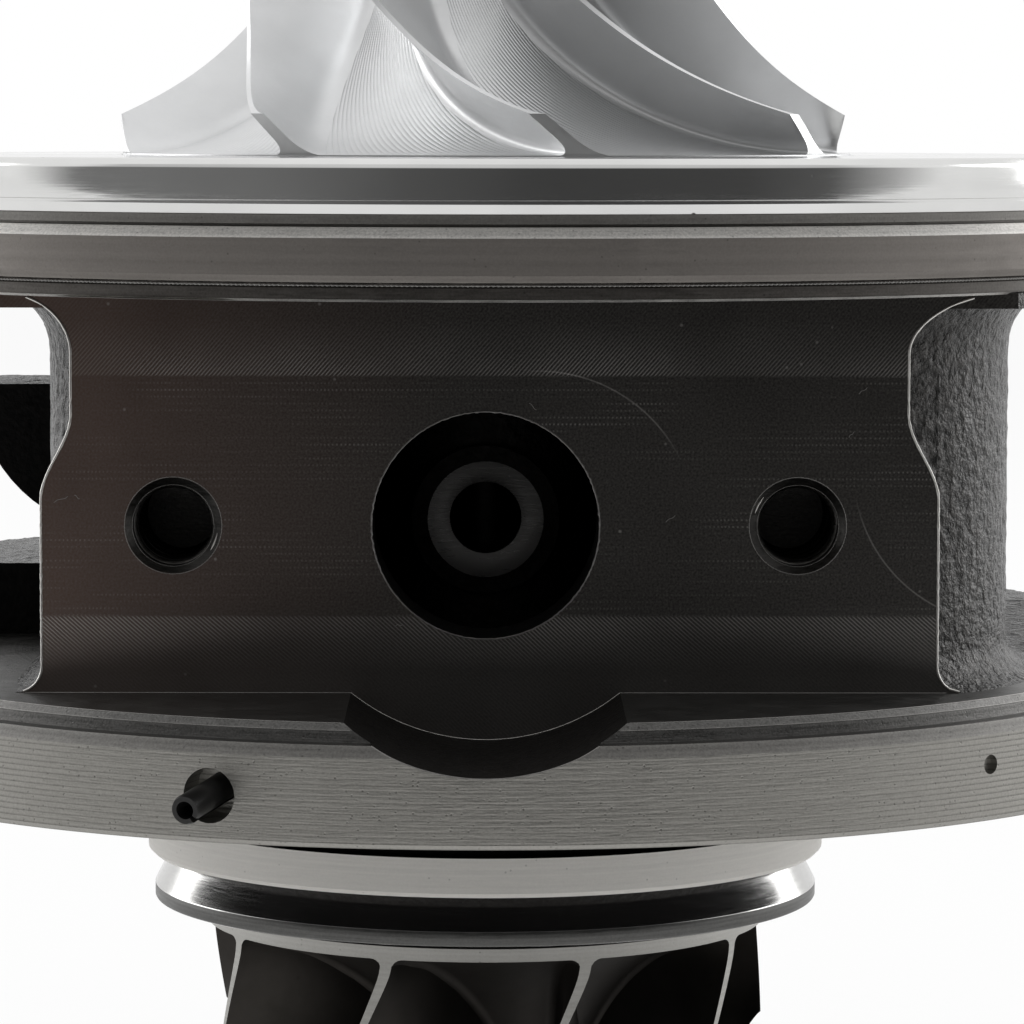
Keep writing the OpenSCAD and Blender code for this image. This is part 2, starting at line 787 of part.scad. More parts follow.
module turbine_wheel() {
    hub = [for (i = [0:20]) turb_hub(i / 20)];
    groove_r = turb_boss_r - seal_depth;
    color([0.36, 0.33, 0.31]) {
        rotate_extrude()
            polygon(concat([[0, boss_top_z], [turb_boss_r, boss_top_z],
                            [turb_boss_r, turb_seal_z + seal_t + seal_side],
                            [groove_r, turb_seal_z + seal_t + seal_side], [groove_r, turb_seal_z - seal_side],
                            [turb_boss_r, turb_seal_z - seal_side], [turb_boss_r, turb_back_z], [turb_r, turb_back_z]],
                           hub, [[turb_nose_r, turb_nose_z + 1], [turb_nose_r - 1, turb_nose_z], [0, turb_nose_z]]));
        for (i = [0:turb_blades - 1])
            rotate([0, 0, turb_phase + i * 360 / turb_blades])
                turb_blade();
    }
}

bearing_housing();
backplate();
backplate_screws();
backplate_o_ring();
thrust_bearing();
thrust_screws();
oil_deflector();
heat_shield();
spring_pin();
turbine_outer_snap_ring();
turbine_inner_snap_ring();
compressor_inner_snap_ring();
compressor_outer_snap_ring();
compressor_seal_ring();
turbine_seal_ring();
compressor_bearing();
turbine_bearing();
shaft();
turbine_wheel();
thrust_collar();
flinger_sleeve();
compressor_wheel();
shaft_nut();
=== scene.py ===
"""Looks of the turbo cartridge: turned, cast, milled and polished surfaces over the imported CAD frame."""

from math import acos, asin, cos, degrees, exp, hypot, pi, radians, sin, sqrt

import bmesh
import bpy
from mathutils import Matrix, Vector, noise


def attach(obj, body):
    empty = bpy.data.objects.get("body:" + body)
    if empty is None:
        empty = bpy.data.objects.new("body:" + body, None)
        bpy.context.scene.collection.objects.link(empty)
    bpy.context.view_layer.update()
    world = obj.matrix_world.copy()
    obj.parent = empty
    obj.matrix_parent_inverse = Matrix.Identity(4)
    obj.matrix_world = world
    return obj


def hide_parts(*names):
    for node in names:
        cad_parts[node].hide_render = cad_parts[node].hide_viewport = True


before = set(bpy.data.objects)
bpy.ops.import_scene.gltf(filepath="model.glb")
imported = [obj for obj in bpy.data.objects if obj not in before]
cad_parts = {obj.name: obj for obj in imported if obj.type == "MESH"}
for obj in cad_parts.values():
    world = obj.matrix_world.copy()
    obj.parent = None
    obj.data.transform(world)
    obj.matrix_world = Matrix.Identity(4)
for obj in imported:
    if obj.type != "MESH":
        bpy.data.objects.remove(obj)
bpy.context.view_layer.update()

# Sizes of the part as in its source, in millimetres and degrees.
MM = 0.001
FLANGE_R = 61.5
RIM_H = 7.2
RIM_CHAMFER = 0.9
LEDGE_Z = 9.6
SPIGOT_R = 30.8
SPIGOT_LEN = 8.9
SPIGOT_GROOVE = 1.0
COVER_R = 58.2
COVER_Z = 42.9
FACE_Z = 48.8
PLATE_R = 58.0
PLATE_TOP_Z = 54.2
DRAIN_Y = 37.5
DRAIN_Z = 23.6
DRAIN_R = 9.5
DRAIN_PITCH = 52.0
TAP_R = 3.4
SPOT_R = 17.95
NOZZLE_Z = 22.0
NOZZLE_R = 5.2
NOZZLE_Y = 12.0
INLET_R = 5.4
INLET_Y = 42.0
HOLLOW_R = 29.0
RECESS_R = 22.0
COMP_R = 33.0
COMP_TIP = 3.5
COMP_H = 30.0
COMP_NOSE_R = 7.0
EYE_R = 21.0
WHEEL_Z = 54.3
WHEEL_BACK_Z = 53.4
WHEEL_FLOOR_Z = 52.8
WHEEL_TOP_Z = WHEEL_Z + COMP_H
FLINGER_TOP_Z = 53.2
STUB_R = 3.29
TURB_R = 25.4
TURB_TIP = 9.2
TURB_L = 24.0
TURB_NOSE_R = 6.5
TURB_BACK_Z = -14.2
TURB_DISC_Z = -15.35
TURB_NOSE_Z = -42.35
BOSS_R = 8.9
BOSS_TOP_Z = -2.5
NUT_H = 6.0
SHAFT_TOP_Z = 92.3
CORNER_R = 22.0
WALL_LEFT = -37.0
WALL_RIGHT = 45.3
EDGE_UPPER = 34.8
EDGE_LOWER = 37.35
FACE_SHIFT = 0.35
FACE_FOOT = 2.2
FILLET_LOW = 3.5
FILLET_HIGH = 5.0
SHIELD_LOW_Z = -13.2
PIN_ANGLE = -20.9
PIN_TILT = 7.0
PIN_Z = 3.8
PIN_R = 1.2
PIN_HOLLOW_R = 0.72
PIN_IN = 9.0
PIN_OUT = 4.6

# Sizes of the scene's own detail, in millimetres and degrees.
SIDES = ((-1, "left"), (1, "right"))
COVER_WEB = 1.2
COVER_WEB_R = 57.9
COVER_WEB_Y = 37.4
COVER_EDGE_H = 0.22
COVER_GROOVE_H = 1.53
COVER_GROOVE_DEPTH = 0.98
RIB_COUNT = 900
RIB_Z = 1.32
LEDGE_LINE_END = 38.5
COUNTERSINK = 0.65
NICK_R = 3.72
NICK_ANGLES = {"left": 112, "right": -62}
SCRATCHES = ((15, 23.9, 38, 1), (30.2, 31, 50, 0.6), (3.6, 33.8, -40, 0.8), (-35.9, 25.5, 25, 1.3),
             (-34.2, 26.1, -30, 0.5), (31, 34.6, 40, 0.9), (-7.5, 15.2, 15, 0.6))
SCREW_CIRCLE_R = 27
SHIELD_R = 28.8
SHIELD_FLARE = 1.35
SHIELD_FLARE_Z = -11.8
SHIELD_LIP_R = 30.2
COMP_HUB_TURN = 81.3
COMP_HUB_FALL = 0.985
COMP_BLADE_TOP = 4.6
COMP_EYE_GAP = 0.3
COMP_EDGE_DECAY = 5.3
COMP_SWEEP = 64.2
COMP_LEAN = 7.2
COMP_BLADE_STEP = 45
COMP_PHASE = 7.4
SPLITTER_PHASE = 8.9
SPLITTER_END = 0.74
COMP_ROOT_FLARE = 1.4
TURB_HUB_TURN = 84
TURB_EDGE_IN = 4.2
TURB_SWEEP = 52
TURB_LEAN = 8.3
TURB_LEAN_START = 0.13
TURB_BLADE_STEP = 40
TURB_PHASE = -19.8
TURB_ROOT_FILLET = 1.1
BLADE_SPANS = 18
BLADE_STEPS = 70
BLADE_SINK = 0.03
BLADE_END_ROUND = 0.02
FLOW_START = 0.01
OFF_HUB = (-1, 0)
NUT_BORE_R = 3.04
WASHER_R = 6.6
WASHER_H = 1.2
WALL_LEVELS = ((-180, 1.0), (-88, 1.0), (-83, 0.79), (-74.6, 0.21), (-40, 0.18), (-15, 0.1), (10, 0.06), (45, 0.065),
               (61.6, 0.105), (73, 0.43), (85.5, 1.0), (180, 1.0))


def polar(r, angle, z):
    """Point at an angle in degrees counted from the front towards +X."""
    a = radians(angle)
    return (r * sin(a), -r * cos(a), z)


def mix(a, b, t):
    return a + (b - a) * t


# Mesh helpers. Points are in millimetres.

def finish_mesh(mesh, sharp):
    for polygon in mesh.polygons:
        polygon.use_smooth = True
    mesh.set_sharp_from_angle(angle=radians(sharp))


def add_object(name, data):
    obj = bpy.data.objects.new(name, data)
    bpy.context.scene.collection.objects.link(obj)
    return obj


def raw_mesh(name, points, faces):
    mesh = bpy.data.meshes.new(name)
    mesh.from_pydata([(x * MM, y * MM, z * MM) for x, y, z in points], [], faces)
    return mesh


def turn_faces_out(mesh):
    bm = bmesh.new()
    bm.from_mesh(mesh)
    bmesh.ops.recalc_face_normals(bm, faces=bm.faces)
    bm.to_mesh(mesh)
    bm.free()


def add_mesh(name, points, faces, sharp=30):
    mesh = raw_mesh(name, points, faces)
    turn_faces_out(mesh)
    finish_mesh(mesh, sharp)
    return add_object(name, mesh)


def quads(rows, columns, close_rows=False, close_columns=True):
    """Faces of a grid of points that are listed row by row."""
    faces = []
    for i in range(rows if close_rows else rows - 1):
        for k in range(columns if close_columns else columns - 1):
            j, m = (i + 1) % rows, (k + 1) % columns
            faces.append((i * columns + k, i * columns + m, j * columns + m, j * columns + k))
    return faces


def soften(profile, radius):
    """Rounds the corners of a closed profile, so that edges catch light as real ones do."""
    rounded = []
    n = len(profile)
    for i in range(n):
        before = Vector(profile[i - 1])
        here = Vector(profile[i])
        after = Vector(profile[(i + 1) % n])
        reach = min(radius, (before - here).length * 0.4, (after - here).length * 0.4)
        start = here + (before - here).normalized() * reach
        end = here + (after - here).normalized() * reach
        for k in range(4):
            t = k / 3
            rounded.append(tuple(start * (1 - t) ** 2 + here * 2 * t * (1 - t) + end * t ** 2))
    return rounded


def lathe(name, profile, steps=360, sharp=40):
    """Solid of revolution from a closed (r, z) profile."""
    points = [polar(r, 360 * i / steps, z) for i in range(steps) for r, z in profile]
    return add_mesh(name, points, quads(steps, len(profile), close_rows=True), sharp)


def tube(name, path, radius, sides=8):
    """Round bar along a path; radius is a number or a function of the path's fraction."""
    points = []
    last = len(path) - 1
    side = Vector((0, 0, 1))
    for i, p in enumerate(path):
        ahead = Vector(path[min(i + 1, last)]) - Vector(path[max(i - 1, 0)])
        ahead.normalize()
        side = (side - ahead * side.dot(ahead)).normalized()
        across = ahead.cross(side)
        r = radius(i / last) if callable(radius) else radius
        for k in range(sides):
            a = 2 * pi * k / sides
            points.append(tuple(Vector(p) + side * r * cos(a) + across * r * sin(a)))
    ends = [tuple(range(sides)), tuple(range(last * sides, (last + 1) * sides))]
    return add_mesh(name, points, quads(len(path), sides) + ends, 60)


def combine(obj, tool, operation):
    """Cuts or intersects a mesh with another one, which is then removed."""
    modifier = obj.modifiers.new("combine", "BOOLEAN")
    modifier.operation = operation
    modifier.object = tool
    modifier.solver = "EXACT"
    graph = bpy.context.evaluated_depsgraph_get()
    mesh = bpy.data.meshes.new_from_object(obj.evaluated_get(graph))
    obj.modifiers.clear()
    obj.data = mesh
    finish_mesh(mesh, 30)
    bpy.data.objects.remove(tool)


# Materials. Coordinates are object coordinates in metres.

class Nodes:
    """Short calls for the nodes of a tree."""

    def __init__(self, tree):
        self.tree = tree
        self.place = None

    def new(self, kind):
        return self.tree.nodes.new("ShaderNode" + kind)

    def put(self, socket, value):
        if hasattr(value, "is_linked"):
            self.tree.links.new(value, socket)
        else:
            socket.default_value = value

    def math(self, operation, a, b=0.0):
        node = self.new("Math")
        node.operation = operation
        self.put(node.inputs[0], a)
        self.put(node.inputs[1], b)
        return node.outputs[0]

    def plus(self, a, b):
        return self.math("ADD", a, b)

    def minus(self, a, b):
        return self.math("SUBTRACT", a, b)

    def times(self, a, b):
        return self.math("MULTIPLY", a, b)

    def length(self, a, b):
        return self.math("SQRT", self.plus(self.times(a, a), self.times(b, b)))

    def axes(self, vector=None):
        node = self.new("SeparateXYZ")
        self.put(node.inputs[0], vector or self.place)
        return tuple(node.outputs)

    def vector(self, x, y, z):
        node = self.new("CombineXYZ")
        for socket, value in zip(node.inputs, (x, y, z)):
            self.put(socket, value)
        return node.outputs[0]

    def remap(self, value, low, high, to_low=0.0, to_high=1.0, smooth=False):
        node = self.new("MapRange")
        node.interpolation_type = "SMOOTHSTEP" if smooth else "LINEAR"
        self.put(node.inputs["Value"], value)
        for socket, limit in (("From Min", low), ("From Max", high), ("To Min", to_low), ("To Max", to_high)):
            node.inputs[socket].default_value = limit
        return node.outputs["Result"]

    def blend(self, factor, a, b):
        node = self.new("Mix")
        node.data_type = "RGBA"
        self.put(node.inputs["Factor"], factor)
        self.put(node.inputs["A"], a if hasattr(a, "is_linked") else (*a, 1))
        self.put(node.inputs["B"], b if hasattr(b, "is_linked") else (*b, 1))
        return node.outputs["Result"]


class Paint(Nodes):
    """A Principled material with patterns in object coordinates."""

    def __init__(self, name, colour, metallic, roughness, specular=0.5):
        self.material = bpy.data.materials.new(name)
        self.material.use_nodes = True
        super().__init__(self.material.node_tree)
        self.shader = self.tree.nodes["Principled BSDF"]
        for socket, value in (("Base Color", (*colour, 1)), ("Metallic", metallic), ("Roughness", roughness),
                              ("Specular IOR Level", specular)):
            self.shader.inputs[socket].default_value = value
        self.place = self.new("TexCoord").outputs["Object"]

    def radius(self):
        x, y, z = self.axes()
        return self.length(x, y)

    def drawn_out(self, share):
        """Coordinates in which patterns run long across the axis."""
        x, y, z = self.axes()
        return self.vector(self.times(x, share), self.times(y, share), z)

    def noise(self, scale, detail=3.0, rough=0.55, vector=None):
        node = self.new("TexNoise")
        self.put(node.inputs["Vector"], vector or self.place)
        for socket, value in (("Scale", scale), ("Detail", detail), ("Roughness", rough)):
            node.inputs[socket].default_value = value
        return node.outputs["Fac"]

    def cells(self, scale):
        node = self.new("TexVoronoi")
        self.put(node.inputs["Vector"], self.place)
        node.inputs["Scale"].default_value = scale
        return node.outputs["Distance"], node.outputs["Color"]

    def spots(self, scale, share, inner, outer):
        """Round spots in a share of the cells."""
        distance, chance = self.cells(scale)
        picked = self.math("GREATER_THAN", self.axes(chance)[0], 1.0 - share)
        return self.times(self.remap(distance, inner, outer, 1.0, 0.0), picked)

    def colour(self, socket):
        self.tree.links.new(socket, self.shader.inputs["Base Color"])

    def roughness(self, socket):
        self.tree.links.new(socket, self.shader.inputs["Roughness"])

    def bump(self, height, distance_mm):
        node = self.new("Bump")
        node.inputs["Strength"].default_value = 1.0
        node.inputs["Distance"].default_value = distance_mm * MM
        self.tree.links.new(height, node.inputs["Height"])
        self.tree.links.new(node.outputs["Normal"], self.shader.inputs["Normal"])


def shaded(colour, share):
    return tuple(c * share for c in colour)


def turned_metal(name, dark, light, rough, pitch_mm, depth_mm, pores=0.0, speckle=0.25, even=False, metallic=1.0):
    """Lathe-turned metal: lines round the axis, evenly cut or worn, with short dashes, speckle and small pores."""
    paint = Paint(name, light, metallic, rough)
    x, y, z = paint.axes()
    wobble = paint.times(paint.noise(60, 2), 0.00005)
    rings = paint.vector(paint.plus(paint.radius(), wobble), 0.0, paint.plus(z, wobble))
    lines = paint.noise(1000 / pitch_mm, 2.0, 0.6, rings)
    line_share, dash_share = 0.4, 0.35
    if even:
        turn = paint.math("FRACT", paint.times(paint.plus(z, wobble), 1000 / pitch_mm))
        lines = paint.plus(paint.remap(turn, 0.0, 0.4, 0.3, 0.58), paint.times(lines, 0.1))
        line_share, dash_share = 0.6, 0.15
    dashes = paint.noise(4200, 2.0, 0.6, paint.drawn_out(0.1))
    grain = paint.noise(5200, 2.0, 0.6)
    cloud = paint.noise(90, 4)
    height = paint.plus(paint.plus(lines, paint.times(dashes, 0.4)), paint.times(grain, speckle))
    shade = paint.plus(paint.plus(paint.times(paint.remap(lines, 0.35, 0.65), line_share),
                                  paint.times(paint.remap(dashes, 0.3, 0.7), dash_share)),
                       paint.plus(paint.times(paint.remap(grain, 0.3, 0.7), speckle),
                                  paint.times(paint.remap(cloud, 0.3, 0.7), 0.12)))
    tint = paint.blend(shade, dark, light)
    if pores:
        pit = paint.spots(2300, pores, 0.1, 0.26)
        height = paint.minus(height, paint.times(pit, 0.5))
        tint = paint.blend(paint.times(pit, 0.45), tint, shaded(dark, 0.35))
    paint.colour(tint)
    paint.roughness(paint.remap(paint.plus(dashes, cloud), 0.7, 1.3, rough - 0.07, rough + 0.09))
    paint.bump(height, depth_mm)
    return paint.material


def cast_metal(name, dark, light, rough, depth_mm=0.5, metallic=0.8, specular=0.5):
    """Rough sand casting: lumps, finer grain and small glints."""
    paint = Paint(name, light, metallic, rough, specular)
    lumps = paint.noise(1300, 2.0, 0.5)
    grit = paint.noise(3400, 3.0, 0.65)
    cloud = paint.noise(60, 3)
    height = paint.plus(lumps, paint.times(grit, 0.4))
    shade = paint.plus(paint.times(paint.remap(height, 0.5, 0.95), 0.75),
                       paint.times(paint.remap(cloud, 0.35, 0.65), 0.25))
    paint.colour(paint.blend(shade, dark, light))
    paint.roughness(paint.remap(grit, 0.3, 0.7, rough - 0.12, rough + 0.1))
    paint.bump(height, depth_mm)
    return paint.material


def milled_face():
    """Drain face: dotted cutter rows, slanted cutter marks above and below, and two faint cutter arcs."""
    paint = Paint("milled_iron", (0.06, 0.058, 0.054), 1.0, 0.42)
    x, y, z = paint.axes()
    sway = paint.times(paint.noise(25, 1), 0.002)
    band_top = (0.0360, 0.0362)
    band_low = (0.0159, 0.0161)

    def wave(value, pitch_mm):
        return paint.math("SINE", paint.times(value, 2 * pi / (pitch_mm * MM)))

    def hatch(slope, pitch_mm):
        across = paint.plus(paint.times(x, slope), paint.plus(z, sway))
        return paint.remap(wave(across, pitch_mm * hypot(slope, 1)), -0.2, 1.0)

    dots = wave(paint.plus(x, paint.times(paint.noise(300, 1), 0.0009)), 0.34)
    worn_rows = paint.remap(paint.noise(520, 2, 0.6, paint.vector(paint.times(x, 0.1), 0.0, z)), 0.45, 0.65)
    dotted = paint.times(paint.times(paint.remap(wave(z, 0.57), 0.4, 1.0), worn_rows), paint.remap(dots, -0.2, 1.0))
    top = paint.times(paint.remap(z, *band_top), paint.remap(z, 0.0366, 0.0408, 1.0, 0.1))
    low = paint.times(paint.remap(z, *band_low, 1.0, 0.0), paint.remap(z, 0.0115, 0.0150, 0.1, 1.0))
    inner = paint.times(paint.remap(z, *band_top, 1.0, 0.0), paint.remap(z, *band_low))
    patches = paint.remap(paint.noise(90, 3), 0.35, 0.65)
    rows = paint.times(paint.times(dotted, inner), patches)
    slants = paint.plus(paint.times(hatch(-1.1, 0.26), top), paint.times(hatch(0.9, 0.26), paint.times(low, 1.4)))
    slants = paint.times(slants, paint.remap(patches, 0.0, 1.0, 0.5, 1.0))
    pattern = paint.plus(paint.times(slants, 0.7), paint.times(rows, 0.6))
    right_of_bore = paint.times(paint.remap(x, 0.003, 0.006), paint.remap(z, 0.029, 0.032))
    below_screw = paint.remap(z, 0.023, 0.026, 1.0, 0.0)
    for centre_x, centre_z, ring_r, shown in ((0.0044, 0.0234, 0.0131, right_of_bore),
                                              (0.0436, 0.0284, 0.013, below_screw)):
        away = paint.length(paint.minus(x, centre_x), paint.minus(z, centre_z))
        ring = paint.remap(paint.math("ABSOLUTE", paint.minus(away, ring_r)), 0.0, 0.0001, 1.0, 0.0)
        pattern = paint.plus(pattern, paint.times(ring, paint.times(shown, 0.5)))
    speck = paint.spots(800, 0.05, 0.05, 0.14)
    warm = paint.remap(paint.plus(x, paint.times(paint.noise(30, 2), 0.02)), -0.036, 0.01, 1.0, 0.0, True)
    base = paint.blend(warm, (0.033, 0.032, 0.03), (0.14, 0.094, 0.078))
    base = paint.blend(paint.remap(z, 0.0105, 0.0175, 0.45, 0.0), base, (0.16, 0.153, 0.146))
    grain = paint.remap(paint.noise(5200, 2), 0.3, 0.7, 0.0, 0.3)
    grained = paint.blend(grain, base, (0.2, 0.185, 0.175))
    lit = paint.blend(paint.times(pattern, 0.6), grained, (0.5, 0.48, 0.46))
    paint.colour(paint.blend(paint.times(speck, 0.4), lit, (0.45, 0.43, 0.41)))
    paint.roughness(paint.remap(paint.noise(120, 4), 0.3, 0.7, 0.4, 0.52))
    paint.bump(paint.plus(pattern, paint.times(paint.noise(3200, 2), 0.4)), 0.015)
    return paint.material


def polished_metal(name, colour, rough, line_mm=0.25, depth_mm=0.003, painted_shade_mm=None):
    """Polished or ground metal with a fine lay round the axis, faint stains, small dings, and, where asked, painted
    shade on the lower side.
    """
    paint = Paint(name, colour, 1.0, rough)
    x, y, z = paint.axes()
    lay = paint.noise(1000 / line_mm, 3.0, 0.65, paint.vector(paint.radius(), 0.0, z))
    scratches = paint.noise(5200, 2.0, 0.6, paint.drawn_out(0.06))
    cloud = paint.noise(55, 4)
    speck = paint.spots(420, 0.2, 0.03, 0.09)
    worn = paint.blend(paint.remap(cloud, 0.35, 0.7), colour, shaded(colour, 0.88))
    if painted_shade_mm:
        # Painted shade: darker towards the bottom, below the given heights in millimetres.
        low, high = painted_shade_mm
        worn = paint.blend(paint.remap(z, low * MM, high * MM, 0.9, 0.0), worn, shaded(colour, 0.1))
    paint.colour(paint.blend(paint.times(speck, 0.35), worn, shaded(colour, 0.5)))
    paint.roughness(paint.remap(paint.plus(scratches, cloud), 0.7, 1.3, max(rough - 0.05, 0.02), rough + 0.06))
    height = paint.plus(lay, paint.times(scratches, 0.5))
    paint.bump(paint.minus(height, paint.times(speck, 8.0)), depth_mm)
    return paint.material


def plain_metal(name, dark, light, rough, metallic=1.0, scale=900):
    """Finish of small and inner parts: uneven lustre, fine grain and handling marks."""
    paint = Paint(name, light, metallic, rough)
    grain = paint.noise(scale, 3, 0.6)
    cloud = paint.noise(scale / 9, 4)
    marks, chance = paint.cells(scale * 0.6)
    shade = paint.plus(paint.times(grain, 0.5), paint.times(paint.remap(cloud, 0.3, 0.7), 0.5))
    worn = paint.blend(shade, dark, light)
    paint.colour(paint.blend(paint.remap(marks, 0.03, 0.1, 0.3, 0.0), worn, shaded(dark, 0.5)))
    paint.roughness(paint.remap(cloud, 0.3, 0.7, rough - 0.08, rough + 0.1))
    paint.bump(grain, 0.02)
    return paint.material


def flow_milled(name, colour, rough, ridges, depth_mm):
    """Five-axis milled wheel: cutter ridges that follow the blade path, stored in the flow map, and satin blades."""
    paint = Paint(name, colour, 1.0, rough)
    flow = paint.new("UVMap")
    flow.uv_map = "flow"
    u, v, unused = paint.axes(flow.outputs[0])
    sweep = paint.math("ABSOLUTE", paint.math("SINE", paint.times(u, pi * ridges)))
    cross = paint.math("SINE", paint.times(v, 900.0))
    grain = paint.noise(2400, 3, 0.6)
    cloud = paint.noise(80, 3)
    brush = paint.noise(1.0, 3, 0.6, paint.vector(paint.times(u, 260.0), paint.times(v, 9.0), 0.0))
    on_hub = paint.math("GREATER_THAN", u, 0.0)
    ridge = paint.times(sweep, on_hub)
    height = paint.plus(paint.plus(ridge, paint.times(brush, 0.12)),
                        paint.plus(paint.times(grain, 0.03), paint.times(paint.times(cross, on_hub), 0.05)))
    shade = paint.blend(paint.remap(cloud, 0.35, 0.65), colour, shaded(colour, 0.93))
    # Painted shade in the valleys between the cutter ridges on the hub.
    valley_shade = paint.times(paint.remap(ridge, 0.0, 0.35, 1.0, 0.0), paint.times(on_hub, 0.3))
    paint.colour(paint.blend(valley_shade, shade, shaded(colour, 0.7)))
    paint.roughness(paint.remap(paint.plus(grain, cloud), 0.7, 1.3, rough - 0.05, rough + 0.07))
    paint.bump(height, depth_mm)
    return paint.material


CAST = cast_metal("cast_iron", (0.005, 0.0048, 0.0045), (0.07, 0.067, 0.064), 0.33)
# Near-black copy of the cast iron: painted shade for the left lug's faces that look towards the dark camera side.
CAST_PAINTED_SHADE = cast_metal("cast_iron_painted_shade", (0.004, 0.004, 0.004), (0.014, 0.013, 0.012), 0.6, depth_mm=0.1)
CAST_INSIDE = cast_metal("cast_iron_inside", (0.012, 0.011, 0.01), (0.035, 0.032, 0.03), 0.6, depth_mm=0.2)
RIM = turned_metal("turned_flange", (0.12, 0.117, 0.108), (0.36, 0.35, 0.325), 0.42,
                   pitch_mm=0.46, depth_mm=0.06, pores=0.3, even=True)
RIM_EDGE = turned_metal("turned_flange_edge", (0.08, 0.078, 0.074), (0.22, 0.214, 0.203), 0.5,
                        pitch_mm=0.35, depth_mm=0.015, pores=0.2, speckle=0.5)
# Darker copy of the turned flange finish: painted shade for the ledge under the cover flange's overhang.
LEDGE = turned_metal("turned_ledge_painted_shade", (0.045, 0.044, 0.042), (0.15, 0.147, 0.142), 0.4,
                     pitch_mm=0.4, depth_mm=0.04, pores=0.2, speckle=0.6)
UNDER = cast_metal("shaded_iron", (0.003, 0.003, 0.003), (0.012, 0.011, 0.011), 0.9,
                   depth_mm=0.05, metallic=0.0, specular=0.05)
COVER = turned_metal("turned_cover_flange", (0.2, 0.186, 0.172), (0.265, 0.246, 0.229), 0.64,
                     pitch_mm=0.6, depth_mm=0.006, pores=0.04, speckle=0.5)
COVER_EDGE = turned_metal("turned_cover_edge", (0.3, 0.295, 0.285), (0.62, 0.605, 0.58), 0.5,
                          pitch_mm=0.5, depth_mm=0.02, pores=0.2, speckle=0.6)
COVER_LOW = turned_metal("turned_cover_groove", (0.05, 0.046, 0.042), (0.12, 0.112, 0.104), 0.45,
                         pitch_mm=0.4, depth_mm=0.01, pores=0.1, speckle=0.4)
SPIGOT = turned_metal("turned_spigot", (0.7, 0.681, 0.644), (0.84, 0.818, 0.774), 0.6,
                      pitch_mm=0.4, depth_mm=0.006, pores=0.04, metallic=0.2)
BORED = turned_metal("bored_iron", (0.05, 0.048, 0.046), (0.13, 0.126, 0.12), 0.35,
                     pitch_mm=0.35, depth_mm=0.02, pores=0.1)
FACE = milled_face()
BURR = plain_metal("burr", (0.5, 0.485, 0.46), (0.8, 0.78, 0.75), 0.35)
FINE_BURR = plain_metal("fine_burr", (0.16, 0.155, 0.15), (0.4, 0.39, 0.375), 0.4)
PLATE = polished_metal("polished_plate", (0.74, 0.74, 0.73), 0.12)
SHIELD = polished_metal("polished_shield", (0.5, 0.495, 0.485), 0.17, line_mm=0.4, depth_mm=0.002)
SHIELD_LIP = turned_metal("brushed_lip", (0.05, 0.05, 0.048), (0.13, 0.129, 0.125), 0.4, pitch_mm=0.3, depth_mm=0.008)
# The nozzle's lower side is darkened as painted shade.
NOZZLE = polished_metal("bored_nozzle", (0.82, 0.81, 0.8), 0.3, line_mm=0.4, depth_mm=0.001,
                        painted_shade_mm=(NOZZLE_Z - 7, NOZZLE_Z + 2.5))
PLATE_NECK = turned_metal("turned_plate_neck", (0.14, 0.135, 0.126), (0.26, 0.252, 0.238), 0.5,
                          pitch_mm=0.4, depth_mm=0.008, pores=0.05, speckle=0.4)
WHEEL = flow_milled("milled_aluminium", (0.74, 0.745, 0.75), 0.4, ridges=36, depth_mm=0.04)
TURBINE = plain_metal("cast_superalloy", (0.026, 0.024, 0.021), (0.055, 0.05, 0.046), 0.55, scale=700)
GROUND = turned_metal("ground_superalloy", (0.26, 0.255, 0.24), (0.38, 0.373, 0.353), 0.42,
                      pitch_mm=0.35, depth_mm=0.006, pores=0.05)
PIN = plain_metal("black_pin", (0.012, 0.012, 0.012), (0.035, 0.034, 0.033), 0.34, metallic=0.6)
STEEL = plain_metal("screw_steel", (0.2, 0.2, 0.2), (0.36, 0.36, 0.36), 0.34)
SPRING = plain_metal("spring_steel", (0.16, 0.155, 0.15), (0.3, 0.29, 0.28), 0.3)
SHAFT = polished_metal("ground_shaft", (0.62, 0.61, 0.6), 0.2)
# Near-black copy of the ground shaft finish: painted shade for the shaft inside the housing.
SHAFT_PAINTED_SHADE = polished_metal("shaft_painted_shade", (0.012, 0.0115, 0.011), 0.3)
BRONZE = plain_metal("bearing_bronze", (0.4, 0.26, 0.12), (0.62, 0.43, 0.2), 0.32)
SHEET = plain_metal("sheet_steel", (0.36, 0.36, 0.36), (0.52, 0.52, 0.51), 0.35)
RUBBER = plain_metal("seal_rubber", (0.012, 0.012, 0.012), (0.03, 0.03, 0.03), 0.6, metallic=0.0)


def dress(obj, body, slot, *materials):
    if len(obj.data.materials):
        obj.data.materials.clear()
    for material in materials:
        obj.data.materials.append(material)
    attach(obj, body)


# Housing, split along the edges of its CAD faces into surfaces of one finish each.

